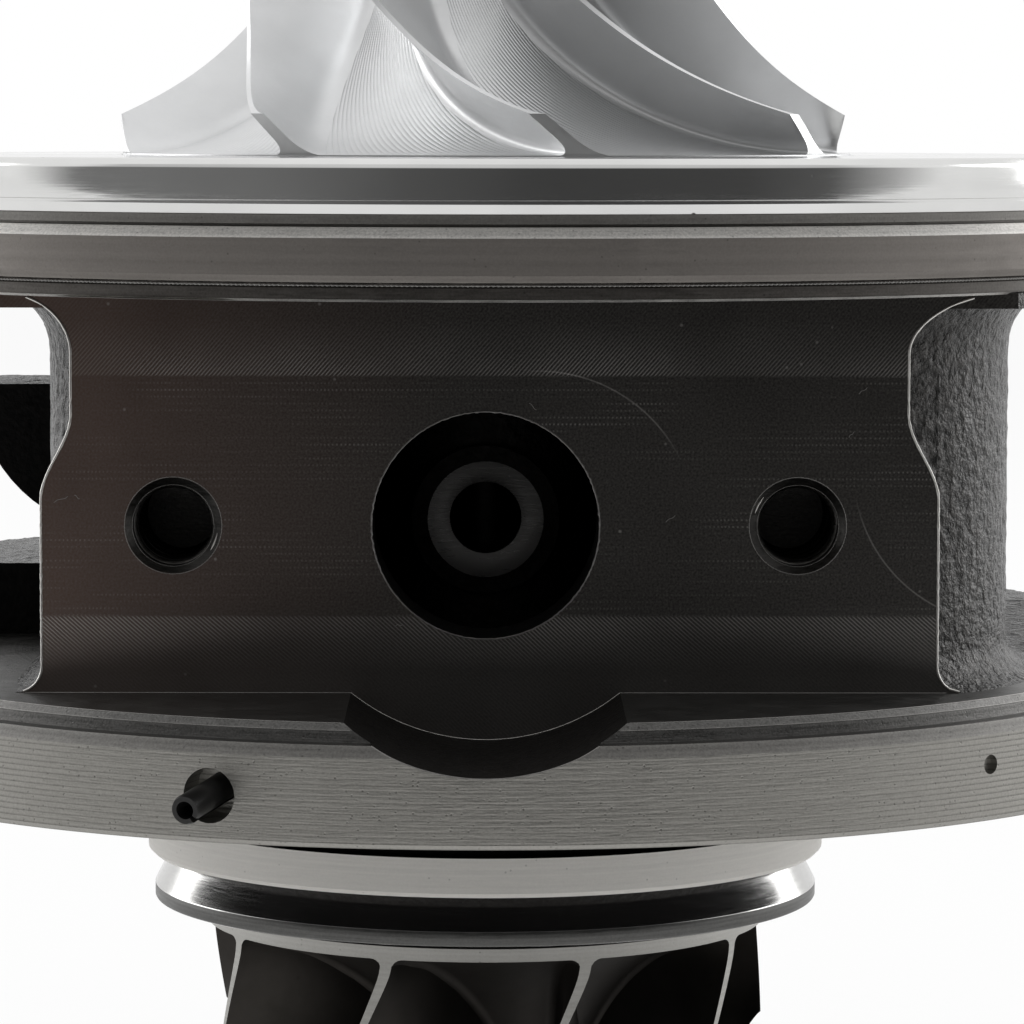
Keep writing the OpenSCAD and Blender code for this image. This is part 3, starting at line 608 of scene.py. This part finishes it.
def housing_region(centre, normal):
    x, y, z = centre / MM
    r = hypot(x, y)
    from_drain = hypot(x, z - DRAIN_Z)
    from_screw = hypot(abs(x) - DRAIN_PITCH / 2, z - DRAIN_Z)
    if normal.y < -0.99 and abs(y + DRAIN_Y) < 0.03:
        return "face"
    if y < -DRAIN_Y + 0.03 and abs(from_drain - SPOT_R) < 0.1:
        return "spot"
    if y < -20 and min(from_screw - TAP_R - 0.8, from_drain - DRAIN_R - 0.05) < 0:
        return "bores"
    if y > 25 and from_drain < INLET_R + 0.1 and z > LEDGE_Z + 1:
        return "bores"
    if -NOZZLE_Y - 0.02 < y < -NOZZLE_Y + 2.1 and hypot(x, z - NOZZLE_Z) < NOZZLE_R:
        return "nozzle"
    if r > SPIGOT_R - SPIGOT_GROOVE - 0.05 and z < 0.02:
        return "under" if normal.z < -0.9 or r < SPIGOT_R - 0.2 and z > -SPIGOT_LEN + 0.5 else "spigot"
    if r > HOLLOW_R + 0.5 and z < RIM_H + 0.02:
        return "rim"
    if r > FLANGE_R - RIM_CHAMFER - 0.02 and z < RIM_H + RIM_CHAMFER:
        return "rim_edge"
    # The ledge's darker turned finish is painted shade under the cover flange.
    if r > HOLLOW_R + 0.5 and z < LEDGE_Z + 0.02:
        return "ledge"
    if r > HOLLOW_R + 0.5 and z > COVER_Z - 0.02:
        if z < COVER_Z + COVER_EDGE_H and r > COVER_R - 1.1:
            return "cover_edge"
        if z < COVER_Z + COVER_GROOVE_H:
            return "cover_low"
        return "cover_edge" if z > FACE_Z - 0.8 and normal.z > 0.3 else "cover"
    if z > FACE_Z - 0.02 and r > RECESS_R - 0.1:
        return "cover"
    if r < HOLLOW_R + 0.1:
        return "inside"
    # Painted shade: the left lug's front faces get the near-black copy of the cast iron.
    if x < WALL_LEFT + 0.5 and y > -DRAIN_Y + 5 and normal.y < -0.7:
        return "black"
    return "cast"


def housing_surface(name, region):
    """Copy of the housing's CAD faces of one region, with the exact normals of the CAD surfaces."""
    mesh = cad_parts["bearing_housing"].data.copy()
    mesh.name = name
    kept = mesh.attributes.new("cad_normal", "FLOAT_VECTOR", "CORNER")
    values = [0.0] * (3 * len(mesh.loops))
    mesh.corner_normals.foreach_get("vector", values)
    kept.data.foreach_set("vector", values)
    bm = bmesh.new()
    bm.from_mesh(mesh)
    unwanted = [f for f in bm.faces if housing_region(f.calc_center_median(), f.normal) != region]
    bmesh.ops.delete(bm, geom=unwanted, context="FACES")
    bm.to_mesh(mesh)
    bm.free()
    normals = [tuple(d.vector) for d in mesh.attributes["cad_normal"].data]
    mesh.attributes.remove(mesh.attributes["cad_normal"])
    for polygon in mesh.polygons:
        polygon.use_smooth = True
    mesh.normals_split_custom_set(normals)
    return add_object(name, mesh)


def roughen(obj, step, amount):
    """Gives a cast surface fine facets, rounded edges and real lumps, with its rim kept in place."""
    bm = bmesh.new()
    bm.from_mesh(obj.data)
    bmesh.ops.remove_doubles(bm, verts=bm.verts, dist=0.002 * MM)
    for turn in range(7):
        bmesh.ops.triangulate(bm, faces=[f for f in bm.faces if len(f.verts) > 3])
        long_edges = [e for e in bm.edges if e.calc_length() > step * MM * 1.5]
        if not long_edges:
            break
        bmesh.ops.subdivide_edges(bm, edges=long_edges, cuts=1)
    bmesh.ops.triangulate(bm, faces=[f for f in bm.faces if len(f.verts) > 3])
    inner = [v for v in bm.verts if not v.is_boundary]
    for turn in range(5):
        bmesh.ops.smooth_vert(bm, verts=inner, factor=0.5, use_axis_x=True, use_axis_y=True, use_axis_z=True)
    bm.normal_update()
    moves = []
    for v in inner:
        p = v.co / MM
        lump = noise.noise(p * 0.9) * 0.6 + noise.noise(p * 1.9) * 0.4
        moves.append((v, v.normal * lump * amount * MM))
    for v, move in moves:
        v.co += move
    bm.to_mesh(obj.data)
    bm.free()
    finish_mesh(obj.data, 80)


def face_edge(side, z):
    """Distance of the drain face's outline from the middle at a height, with the cast fillets at both flanges."""
    bend_low, bend_high = 25.6, 33
    half = EDGE_LOWER
    if z > bend_high:
        half = EDGE_UPPER
    elif z > bend_low:
        half = mix(EDGE_LOWER, EDGE_UPPER, (1 - cos((z - bend_low) / (bend_high - bend_low) * pi)) / 2)
    elif z < LEDGE_Z + FACE_FOOT:
        half += FACE_FOOT - sqrt(FACE_FOOT ** 2 - (LEDGE_Z + FACE_FOOT - z) ** 2)
    grow = 0.0
    if z < LEDGE_Z + FILLET_LOW:
        grow = FILLET_LOW - sqrt(FILLET_LOW ** 2 - (LEDGE_Z + FILLET_LOW - z) ** 2)
    if z > COVER_Z - FILLET_HIGH:
        grow = FILLET_HIGH - sqrt(FILLET_HIGH ** 2 - (z - COVER_Z + FILLET_HIGH) ** 2)
    post = (WALL_RIGHT if side > 0 else -WALL_LEFT) - CORNER_R
    depth = CORNER_R ** 2 - (EDGE_UPPER + side * FACE_SHIFT - post) ** 2
    return max(half + side * FACE_SHIFT, post + sqrt(max((CORNER_R + grow) ** 2 - depth, 0)))


def build_housing():
    cast = housing_surface("housing_cast_walls", "cast")
    roughen(cast, 0.6, 0.14)
    dress(cast, "housing", "cast_housing", CAST)
    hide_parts("bearing_housing")
    finishes = {"inside": CAST_INSIDE, "black": CAST_PAINTED_SHADE, "face": FACE, "spot": CAST_INSIDE, "bores": BORED,
                "nozzle": NOZZLE, "rim": RIM, "rim_edge": RIM_EDGE, "ledge": LEDGE, "under": UNDER, "cover": COVER,
                "cover_edge": COVER_EDGE, "cover_low": COVER_LOW, "spigot": SPIGOT}
    for region, material in finishes.items():
        dress(housing_surface("housing_" + region, region), "housing", "cast_housing", material)


def edge_line(name, path, radius, material):
    dress(tube(name, path, radius), "housing", "cast_housing", material)


def ledge_line(name, r, z):
    """Bright line along an edge of the ledge, broken by the spot face."""
    gap = degrees(asin(sqrt(SPOT_R ** 2 - (DRAIN_Z - z) ** 2) / r)) + 0.2
    path = [polar(r - 0.02, mix(gap, 360 - gap, i / 360), z - 0.02) for i in range(361)]
    edge_line(name, path, 0.045, FINE_BURR)


def ragged_ring(name, x, radius, thickness):
    """Torn edge of a hole in the drain face."""
    path = []
    for i in range(241):
        a = 2 * pi * i / 240
        r = radius + thickness * noise.noise(Vector((i * 0.9, 5, x)))
        path.append((x + r * sin(a), -DRAIN_Y, DRAIN_Z + r * cos(a)))
    edge_line(name, path, lambda t: thickness * (1 + noise.noise(Vector((t * 200, x, 7)))), FINE_BURR)


def build_edges():
    """Burrs and broken edges that catch light round the drain face, its holes and the spot face, and scratches."""
    reach = degrees(acos((DRAIN_Z - LEDGE_Z) / SPOT_R))
    spot_end = SPOT_R * sin(radians(reach))
    for side, label in SIDES:
        outline = []
        for i in range(150):
            z = mix(LEDGE_Z + 0.1, COVER_Z - 0.3, i / 149)
            outline.append((side * face_edge(side, z), -DRAIN_Y, z))
        edge_line("face_burr_" + label, outline, lambda t: 0.11 + 0.05 * noise.noise(Vector((t * 70, 3, 1))), BURR)
        foot = [(side * x, -DRAIN_Y, LEDGE_Z) for x in (spot_end, LEDGE_LINE_END)]
        edge_line("ledge_line_" + label, foot, 0.05, FINE_BURR)
    inner = []
    outer = []
    for i in range(81):
        a = radians(mix(-reach, reach, i / 80))
        x, z = SPOT_R * sin(a), DRAIN_Z - SPOT_R * cos(a)
        inner.append((x, -DRAIN_Y, z))
        if z < RIM_H + RIM_CHAMFER:
            outer.append((x, -sqrt((FLANGE_R - max(z - RIM_H, 0)) ** 2 - x ** 2) + 0.1, z))
    edge_line("spot_face_line", inner, 0.06, BURR)
    edge_line("spot_rim_line", outer, 0.09, FINE_BURR)
    ledge_line("ledge_step_line", FLANGE_R - 2.7, LEDGE_Z - 0.55)
    ledge_line("ledge_edge_line", FLANGE_R - 3.1, LEDGE_Z)
    ragged_ring("bore_burr", 0, DRAIN_R, 0.075)
    for side, label in SIDES:
        screw_x = side * DRAIN_PITCH / 2
        ragged_ring("screw_hole_edge_" + label, screw_x, TAP_R + COUNTERSINK, 0.035)
        ragged_ring("screw_hole_burr_" + label, screw_x, TAP_R, 0.015)
        path = []
        for t in range(-4, 5):
            a = radians(NICK_ANGLES[label] + 3 * t)
            path.append((screw_x + NICK_R * sin(a), -DRAIN_Y + 0.2, DRAIN_Z + NICK_R * cos(a)))
        edge_line("screw_hole_nick_" + label, path, lambda t: 0.02 + 0.07 * sin(pi * t), BURR)
    for i, (x, z, slant, length) in enumerate(SCRATCHES):
        a = radians(slant)
        path = []
        for t in range(7):
            along = length * t / 6
            path.append((x + along * cos(a), -DRAIN_Y, z + along * sin(a) + 0.08 * sin(t)))
        edge_line("face_scratch_" + str(i + 1), path, 0.025, FINE_BURR)


def build_cover_underside():
    """Cast web under the cover flange, cut off level with the drain face."""
    reach = degrees(acos(COVER_WEB_Y / COVER_WEB_R))
    outline = [polar(COVER_WEB_R, mix(reach, 360 - reach, i / 240), 0) for i in range(241)]
    n = len(outline)
    points = [(x, y, z) for z in (COVER_Z - COVER_WEB, COVER_Z + 0.1) for x, y, unused in outline]
    web = add_mesh("cover_flange_web", points, quads(2, n) + [tuple(range(n)), tuple(range(n, 2 * n))])
    dress(web, "housing", "cast_housing", CAST, FACE)
    web.data.polygons[n - 1].material_index = 1


def build_ribs():
    """Fine upright ribs in the groove under the cover flange's rim."""
    points = []
    levels = ((-0.2, 0.0), (-0.08, 1.0), (0.08, 1.0), (0.2, 0.0))
    for i in range(RIB_COUNT * 4):
        swell = (0.0, 0.5, 1.0, 0.5)[i % 4]
        for z, height in levels:
            r = COVER_R - COVER_GROOVE_DEPTH + (0.08 + 0.14 * swell) * height
            points.append(polar(r, 90 * i / RIB_COUNT, COVER_Z + RIB_Z + z))
    faces = quads(RIB_COUNT * 4, len(levels), close_rows=True, close_columns=False)
    dress(add_mesh("cover_groove_ribs", points, faces, 60), "housing", "cast_housing", FINE_BURR)


def thread(name, x, z, y0, y1, radius, pitch, depth):
    """Thread ridges on the wall of a hole that runs along Y."""
    turns = abs(y1 - y0) / pitch
    count = int(turns * 40)
    path = []
    for i in range(count + 1):
        a = 2 * pi * turns * i / count
        path.append((x + radius * cos(a), mix(y0, y1, i / count), z + radius * sin(a)))
    dress(tube(name, path, depth, 6), "housing", "cast_housing", BORED)


def build_threads():
    for side, label in SIDES:
        thread("drain_thread_" + label, side * DRAIN_PITCH / 2, DRAIN_Z, -DRAIN_Y + 1.2, -DRAIN_Y + 14,
               TAP_R, pitch=1.25, depth=0.36)
    thread("inlet_thread", 0, DRAIN_Z, INLET_Y - 1, INLET_Y - 11, INLET_R, pitch=1.5, depth=0.42)


def build_plate():
    """Backplate: hub, pilot in the housing's recess, neck, bevelled rim, and the hollow for the wheel's back."""
    bore, hub, pilot, neck, step, bevel, shoulder = 8.3, 10.4, 21.96, 56.6, 57.1, 57.45, 57.86
    pilot_z, hub_z, step_z, neck_z, rim_z = 46.8, 48.6, 49.02, 49.76, 50.9
    profile = [(bore, hub_z), (hub, hub_z), (hub, pilot_z), (pilot, pilot_z), (pilot, FACE_Z), (neck, FACE_Z),
               (neck, step_z), (step, step_z), (step, neck_z), (bevel, neck_z + 0.04), (shoulder, 50.58),
               (shoulder, rim_z), (PLATE_R, rim_z), (PLATE_R, 53.45), (shoulder, 53.72), (bevel, 54.08),
               (57.2, PLATE_TOP_Z), (COMP_R + 0.6, PLATE_TOP_Z), (COMP_R + 0.6, WHEEL_FLOOR_Z), (bore, WHEEL_FLOOR_Z)]
    plate = lathe("backplate_turned", soften(profile, 0.05), 480)
    for angle in (45, 135, 225, 315):
        for r, z in ((2.75, 40), (4.5, WHEEL_FLOOR_Z - 2.2)):
            hole = lathe("hole", [(0.01, z), (r, z), (r, 60), (0.01, 60)], 48)
            x, y, unused = polar(SCREW_CIRCLE_R, angle, 0)
            hole.location = (x * MM, y * MM, 0)
            combine(plate, hole, "DIFFERENCE")
    dress(plate, "housing", "turned_plate", PLATE, PLATE_NECK)
    for polygon in plate.data.polygons:
        x, y, z = polygon.center / MM
        polygon.material_index = 1 if hypot(x, y) > neck - 0.1 and z < neck_z + 0.03 else 0
    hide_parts("backplate")


def build_shield():
    flare = [(SHIELD_R + SHIELD_FLARE * (i / 12) ** 1.15, mix(-SPIGOT_LEN, SHIELD_FLARE_Z, i / 12)) for i in range(13)]
    lip = [(SHIELD_LIP_R, SHIELD_FLARE_Z - 0.1), (SHIELD_LIP_R, SHIELD_LOW_Z + 0.2),
           (SHIELD_LIP_R - 0.08, SHIELD_LOW_Z + 0.06), (SHIELD_LIP_R - 0.2, SHIELD_LOW_Z)]
    profile = [(28.3, -SPIGOT_LEN), *flare, *lip, (SHIELD_R, SHIELD_LOW_Z + 0.08), (26, SHIELD_LOW_Z),
               (9.9, SHIELD_LOW_Z), (9.9, SHIELD_LOW_Z + 0.8), (28.3, SHIELD_LOW_Z + 0.8)]
    shield = lathe("heat_shield_polished", profile, 480, 50)
    dress(shield, "housing", "polished_shield", SHIELD, SHIELD_LIP)
    for polygon in shield.data.polygons:
        x, y, z = polygon.center / MM
        on_lip = hypot(x, y) > SHIELD_LIP_R - 0.1 and z < SHIELD_FLARE_Z - 0.05
        polygon.material_index = 1 if on_lip else 0
    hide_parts("heat_shield")


def build_pin():
    """Rolled spring pin: a sheet bent to a slotted tube, with slightly tapered ends."""
    ends = [(-PIN_IN, 0.1), (-PIN_IN + 0.3, 0.0), (PIN_OUT - 0.3, 0.0), (PIN_OUT, 0.1)]
    turn, tilt = radians(PIN_ANGLE), radians(PIN_TILT)
    out = Vector((sin(turn) * cos(tilt), -cos(turn) * cos(tilt), -sin(tilt)))
    across = Vector((cos(turn), sin(turn), 0))
    up = out.cross(across)
    start = Vector(polar(FLANGE_R, PIN_ANGLE, PIN_Z))
    n = 98
    points = []
    for along, taper in ends:
        for i in range(n):
            outer = i < n // 2
            a = radians(mix(-33, 303, (i if outer else n - 1 - i) / (n // 2 - 1)))
            radius = PIN_R - taper if outer else PIN_HOLLOW_R
            points.append(tuple(start + out * along + across * radius * cos(a) + up * radius * sin(a)))
    faces = quads(len(ends), n)
    for first in (0, (len(ends) - 1) * n):
        for k in range(n // 2 - 1):
            faces.append((first + k, first + k + 1, first + n - 2 - k, first + n - 1 - k))
    pin = add_mesh("spring_pin_rolled", points, faces, 35)
    dress(pin, "housing", "black_pin", PIN)
    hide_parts("spring_pin")


# Wheels. Each is one mesh: a hub whose columns follow the blade path, and the blades, with rounded roots.
# m runs from the wheel's rim (0) to its nose (1), and s from the hub (0) to the blade's edge (1).

def comp_hub(m):
    t = radians(90 - COMP_HUB_TURN * m)
    r = COMP_NOSE_R + (COMP_R - COMP_NOSE_R) * (1 - cos(t))
    return r, WHEEL_Z + COMP_H * (1 - sin(t)) * COMP_HUB_FALL


def comp_edge(m):
    z = COMP_TIP + (COMP_H - COMP_TIP - COMP_BLADE_TOP) * m ** 1.7
    flare = (COMP_R - EYE_R + COMP_EYE_GAP) * exp(-(z - COMP_TIP) / COMP_EDGE_DECAY)
    return EYE_R - COMP_EYE_GAP + flare, WHEEL_Z + z


def comp_angle(m, s):
    return -COMP_SWEEP * m ** 1.44 + COMP_LEAN * (1 - m) * (1 - s)


def comp_width(m, s):
    return mix(0.85 + 0.2 * m, 0.26 + 0.1 * m + 0.45 * exp(-m / 0.05), s)


def turb_hub(m):
    t = radians(90 - TURB_HUB_TURN * m)
    return TURB_NOSE_R + (TURB_R - TURB_NOSE_R) * (1 - cos(t)), TURB_DISC_Z - TURB_L * (1 - sin(t))


def turb_edge(m):
    z = TURB_TIP + (TURB_L - 1 - TURB_TIP) * m
    return TURB_R - TURB_EDGE_IN * sin(pi / 2 * m ** 0.8), TURB_DISC_Z - z


def ramp(x):
    return 0.5 * (x + sqrt(x * x + 0.01))


def turb_angle(m, s):
    start, end = ramp(-TURB_LEAN_START), ramp(1 - TURB_LEAN_START)
    lean = (ramp(s - TURB_LEAN_START) - start) / (end - start)
    return TURB_SWEEP * m ** 2.1 - TURB_LEAN * (1 - m) * lean


def turb_width(m, s):
    return mix(0.55 + 0.4 * m, 0.29 + 0.14 * m, s)


def build_wheel(name, hub, edge, angle, width, blades, back, front, up, fillet, flare, columns, rows):
    """hub and edge give (r, z); back and front are (r, z) rows before and after the hub; up is the way of its normal.

    The hub rises by a fillet beside the blades, or the blades widen by a flare at their roots."""
    points = []
    kinds = []
    flow = []
    spacing = 360 / columns

    def root_fillet(column, m):
        best = 0.0
        for phase, end in blades if fillet else []:
            if m > end + 0.03:
                continue
            away = abs((column * spacing - phase + 180) % 360 - 180)
            d = radians(away) * hub(m)[0] - width(m, 0.45) + 0.05
            if d < fillet:
                d = max(d, 0.0)
                best = max(best, fillet - sqrt(max(fillet ** 2 - (fillet - d) ** 2, 0.0)))
        return best

    rings = [(p, 0.0, False) for p in back]
    rings += [(hub(i / rows), i / rows, True) for i in range(rows + 1)]
    rings += [(p, 1.0, False) for p in front]
    for (r, z), m, on_hub in rings:
        if on_hub:
            r0, z0 = hub(max(m - 0.01, 0))
            r1, z1 = hub(min(m + 0.01, 1))
            length = hypot(r1 - r0, z1 - z0)
            normal_r, normal_z = up * (z1 - z0) / length, -up * (r1 - r0) / length
        for j in range(columns):
            h = root_fillet(j, m) if on_hub else 0.0
            rr, zz = (r + normal_r * h, z + normal_z * h) if h else (r, z)
            points.append(polar(min(rr, hub(0)[0]), j * spacing + angle(m, 0), zz))
    faces = quads(len(rings), columns)
    for i in range(len(rings) - 1):
        for j in range(columns):
            kinds.append(1 if i == len(back) - 1 else 0)
            low = j * spacing / COMP_BLADE_STEP + FLOW_START
            high = (j + 1) * spacing / COMP_BLADE_STEP + FLOW_START
            m0, m1 = rings[i][1], rings[i + 1][1]
            flow.append([(low, m0), (high, m0), (high, m1), (low, m1)] if rings[i][2] else [OFF_HUB] * 4)
    for start in (0, (len(rings) - 1) * columns):
        faces.append(tuple(range(start, start + columns)))
        kinds.append(0)
        flow.append([OFF_HUB] * columns)
    spans = BLADE_SPANS
    for phase, end in blades:
        start = len(points)
        steps = int(BLADE_STEPS * end)
        loop = 2 * (spans + 1)
        for i in range(steps + 1):
            m = end * i / steps
            (hr, hz), (er, ez) = hub(m), edge(m)
            for k in range(loop):
                side = -1 if k <= spans else 1
                s = k / spans if k <= spans else (loop - 1 - k) / spans
                s = mix(-BLADE_SINK, 1, s ** (1.8 if flare else 1))
                r, z = mix(hr, er, s), mix(hz, ez, s)
                w = width(m, max(s, 0.0))
                above = max(s, 0.0) * hypot(er - hr, ez - hz)
                if above < flare:
                    w += flare - sqrt(flare ** 2 - (flare - above) ** 2)
                if m > end - BLADE_END_ROUND * end:
                    w *= sqrt(max((end - m) / (BLADE_END_ROUND * end), 0.06))
                points.append(polar(min(r, hub(0)[0]), phase + angle(m, max(s, 0.0)) + side * degrees(w / r), z))
        for i in range(steps):
            for k in range(loop - 1):
                a = start + i * loop + k
                faces.append((a, a + 1, a + loop + 1, a + loop))
                kinds.append(1 if k == spans else 0)
                flow.append([(-1, k / spans), (-1, (k + 1) / spans), (-1, (k + 1) / spans), (-1, k / spans)])
        for i in (0, steps):
            for k in range(spans):
                a = start + i * loop
                faces.append((a + k, a + k + 1, a + loop - 2 - k, a + loop - 1 - k))
                kinds.append(1 if i == 0 else 0)
                flow.append([OFF_HUB] * 4)
    mesh = raw_mesh(name, points, faces)
    layer = mesh.uv_layers.new(name="flow")
    for polygon, kind, corners in zip(mesh.polygons, kinds, flow):
        polygon.material_index = kind
        for loop_index, corner in zip(polygon.loop_indices, corners):
            layer.data[loop_index].uv = corner
    turn_faces_out(mesh)
    finish_mesh(mesh, 40)
    return add_object(name, mesh)


def build_compressor():
    blades = [(COMP_PHASE + COMP_BLADE_STEP * i, 1.0) for i in range(0, 8, 2)]
    blades += [(SPLITTER_PHASE + COMP_BLADE_STEP * i, SPLITTER_END) for i in range(1, 8, 2)]
    back = [(STUB_R, WHEEL_TOP_Z), (STUB_R, FLINGER_TOP_Z), (14, FLINGER_TOP_Z), (18, WHEEL_BACK_Z),
            (COMP_R, WHEEL_BACK_Z)]
    front = [(COMP_NOSE_R, WHEEL_TOP_Z - 0.15), (6.85, WHEEL_TOP_Z), (STUB_R + 0.02, WHEEL_TOP_Z)]
    wheel = build_wheel("compressor_wheel_milled", comp_hub, comp_edge, comp_angle, comp_width, blades, back, front,
                        up=1, fillet=0.0, flare=COMP_ROOT_FLARE, columns=480, rows=90)
    dress(wheel, "rotor", "milled_aluminium", WHEEL, WHEEL)
    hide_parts("compressor_wheel")


def build_turbine():
    blades = [(TURB_PHASE + TURB_BLADE_STEP * i, 1.0) for i in range(9)]
    groove_r, groove_top, groove_low = 6.7, -4.85, -6.55
    back = [(2, BOSS_TOP_Z), (BOSS_R, BOSS_TOP_Z), (BOSS_R, groove_top), (groove_r, groove_top), (groove_r, groove_low),
            (BOSS_R, groove_low), (BOSS_R, TURB_BACK_Z + 0.6), (BOSS_R + 0.6, TURB_BACK_Z), (TURB_R, TURB_BACK_Z)]
    front = [(TURB_NOSE_R, TURB_NOSE_Z + 1), (TURB_NOSE_R - 0.35, TURB_NOSE_Z + 0.3), (TURB_NOSE_R - 1, TURB_NOSE_Z),
             (2, TURB_NOSE_Z)]
    wheel = build_wheel("turbine_wheel_cast", turb_hub, turb_edge, turb_angle, turb_width, blades, back, front,
                        up=-1, fillet=TURB_ROOT_FILLET, flare=0.0, columns=540, rows=80)
    dress(wheel, "rotor", "turbine_alloy", TURBINE, GROUND)
    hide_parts("turbine_wheel")


def build_nut():
    """Hexagon nut with bevelled corners, its washer, and the shaft's thread above it."""
    z0 = WHEEL_TOP_Z
    z1 = z0 + NUT_H
    flat = 5 / cos(pi / 6)
    hexagon = [polar(flat, 60 * i, z) for z in (z0 + 0.4, z1) for i in range(6)]
    nut = add_mesh("shaft_nut_turned", hexagon, quads(2, 6) + [tuple(range(6)), tuple(range(6, 12))])
    barrel = [(0.01, z0), (WASHER_R, z0), (WASHER_R, z0 + 1), (6, z0 + WASHER_H), (6, z1 - 0.75), (4.9, z1), (0.01, z1)]
    combine(nut, lathe("barrel", barrel, 96), "INTERSECT")
    ring = [(NUT_BORE_R, z0), (WASHER_R, z0), (WASHER_R, z0 + 0.9), (6.2, z0 + WASHER_H), (NUT_BORE_R, z0 + WASHER_H)]
    washer = lathe("nut_washer", soften(ring, 0.1), 96)
    hole = lathe("hole", [(0.01, z0 - 1), (NUT_BORE_R, z0 - 1), (NUT_BORE_R, z0 + 9), (0.01, z0 + 9)], 64)
    combine(nut, hole, "DIFFERENCE")
    dress(nut, "rotor", "ground_steel", STEEL)
    dress(washer, "rotor", "ground_steel", STEEL)
    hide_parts("shaft_nut")
    thread_r, turns = 2.86, 3
    path = []
    for i in range(121):
        a = 2 * pi * turns * i / 120
        path.append((thread_r * cos(a), thread_r * sin(a), mix(z1 - 1, SHAFT_TOP_Z - 0.75, i / 120)))
    dress(tube("shaft_thread", path, 0.3, 6), "rotor", "ground_steel", SHAFT)


def dress_nodes():
    """Finishes of the pieces that keep their CAD meshes."""
    finishes = {"backplate_screws": STEEL, "backplate_o_ring": RUBBER, "thrust_bearing": BRONZE, "thrust_screws": STEEL,
                "oil_deflector": SHEET, "shaft": SHAFT_PAINTED_SHADE, "thrust_collar": SHAFT, "flinger_sleeve": SHAFT}
    for end in ("compressor", "turbine"):
        finishes[end + "_bearing"] = BRONZE
        for ring in ("_outer_snap_ring", "_inner_snap_ring", "_seal_ring"):
            finishes[end + ring] = SPRING
    for name, material in finishes.items():
        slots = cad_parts[name].data.materials
        for i in range(len(slots)):
            slots[i] = material


# Studio: pale floor, white surroundings that are dark only on the camera's side, and soft lights. Sizes in metres.

def build_floor():
    """Floor that looks nearly white to the camera and in mirrors, and keeps a soft shadow."""
    bm = bmesh.new()
    bmesh.ops.create_grid(bm, x_segments=8, y_segments=8, size=4)
    bmesh.ops.translate(bm, verts=bm.verts, vec=(0, 3.73, 0))
    mesh = bpy.data.meshes.new("floor")
    bm.to_mesh(mesh)
    bm.free()
    floor = add_object("floor", mesh)
    floor.location = (0, 0, (TURB_NOSE_Z - 1) * MM)
    material = bpy.data.materials.new("pale_floor")
    material.use_nodes = True
    nodes = Nodes(material.node_tree)
    shader = nodes.tree.nodes["Principled BSDF"]
    shader.inputs["Base Color"].default_value = (0.85, 0.85, 0.85, 1)
    shader.inputs["Roughness"].default_value = 0.9
    path = nodes.new("LightPath").outputs
    seen = nodes.math("MAXIMUM", path["Is Camera Ray"], path["Is Transmission Ray"])
    seen = nodes.math("MAXIMUM", seen, path["Is Glossy Ray"])
    glow = nodes.new("Emission")
    glow.inputs["Strength"].default_value = 1.0
    both = nodes.new("MixShader")
    nodes.put(both.inputs[0], nodes.times(seen, 0.85))
    nodes.put(both.inputs[1], shader.outputs[0])
    nodes.put(both.inputs[2], glow.outputs[0])
    nodes.put(nodes.tree.nodes["Material Output"].inputs["Surface"], both.outputs[0])
    floor.data.materials.append(material)


def build_world():
    """White all round except on the camera's side, as in a studio with light walls beside and behind the object."""
    world = bpy.data.worlds.new("studio")
    bpy.context.scene.world = world
    world.use_nodes = True
    nodes = Nodes(world.node_tree)
    x, y, z = nodes.axes(nodes.new("TexCoord").outputs["Generated"])
    turn = nodes.math("ARCTAN2", x, nodes.times(y, -1.0))
    walls = nodes.new("ValToRGB")
    nodes.put(walls.inputs[0], nodes.remap(turn, -pi, pi))
    stops = walls.color_ramp.elements
    while len(stops) < len(WALL_LEVELS):
        stops.new(0.5)
    for stop, (angle, level) in zip(stops, WALL_LEVELS):
        stop.position = (angle + 180) / 360
        stop.color = (level, level, level, 1)
    overhead = nodes.remap(z, 0.2, 0.8, 0.0, 0.75)
    light = nodes.math("MAXIMUM", walls.outputs[0], overhead)
    seen = nodes.new("LightPath").outputs["Is Camera Ray"]
    background = nodes.tree.nodes["Background"]
    nodes.put(background.inputs["Color"], nodes.blend(seen, light, (1, 1, 1)))
    background.inputs["Strength"].default_value = 1.0


def softbox(name, place, aim, size, power):
    data = bpy.data.lights.new(name, "AREA")
    data.shape = "RECTANGLE"
    data.size = size
    data.size_y = size
    data.energy = power
    light = add_object(name, data)
    light.location = place
    light.rotation_mode = "QUATERNION"
    light.rotation_quaternion = (Vector(aim) - Vector(place)).to_track_quat("-Z", "Y")


def build_studio():
    build_floor()
    build_world()
    for side, label in SIDES:
        softbox(label + "_softbox", (side * 0.75, 0.45, 0.3), (0, 0, 0.03), size=0.6, power=3)
    bpy.context.scene.view_settings.view_transform = "Standard"


def build_camera():
    data = bpy.data.cameras.new("camera")
    data.sensor_width = 36
    data.lens = 164.1
    data.clip_start = 0.01
    data.clip_end = 50
    camera = add_object("camera", data)
    camera.location = (0, -424.6 * MM, 56.61 * MM)
    camera.rotation_euler = (radians(90 - 4.705), radians(-0.08), radians(-0.318))
    bpy.context.scene.camera = camera


build_housing()
build_edges()
build_cover_underside()
build_ribs()
build_threads()
build_plate()
build_shield()
build_pin()
build_compressor()
build_turbine()
build_nut()
dress_nodes()
build_studio()
build_camera()
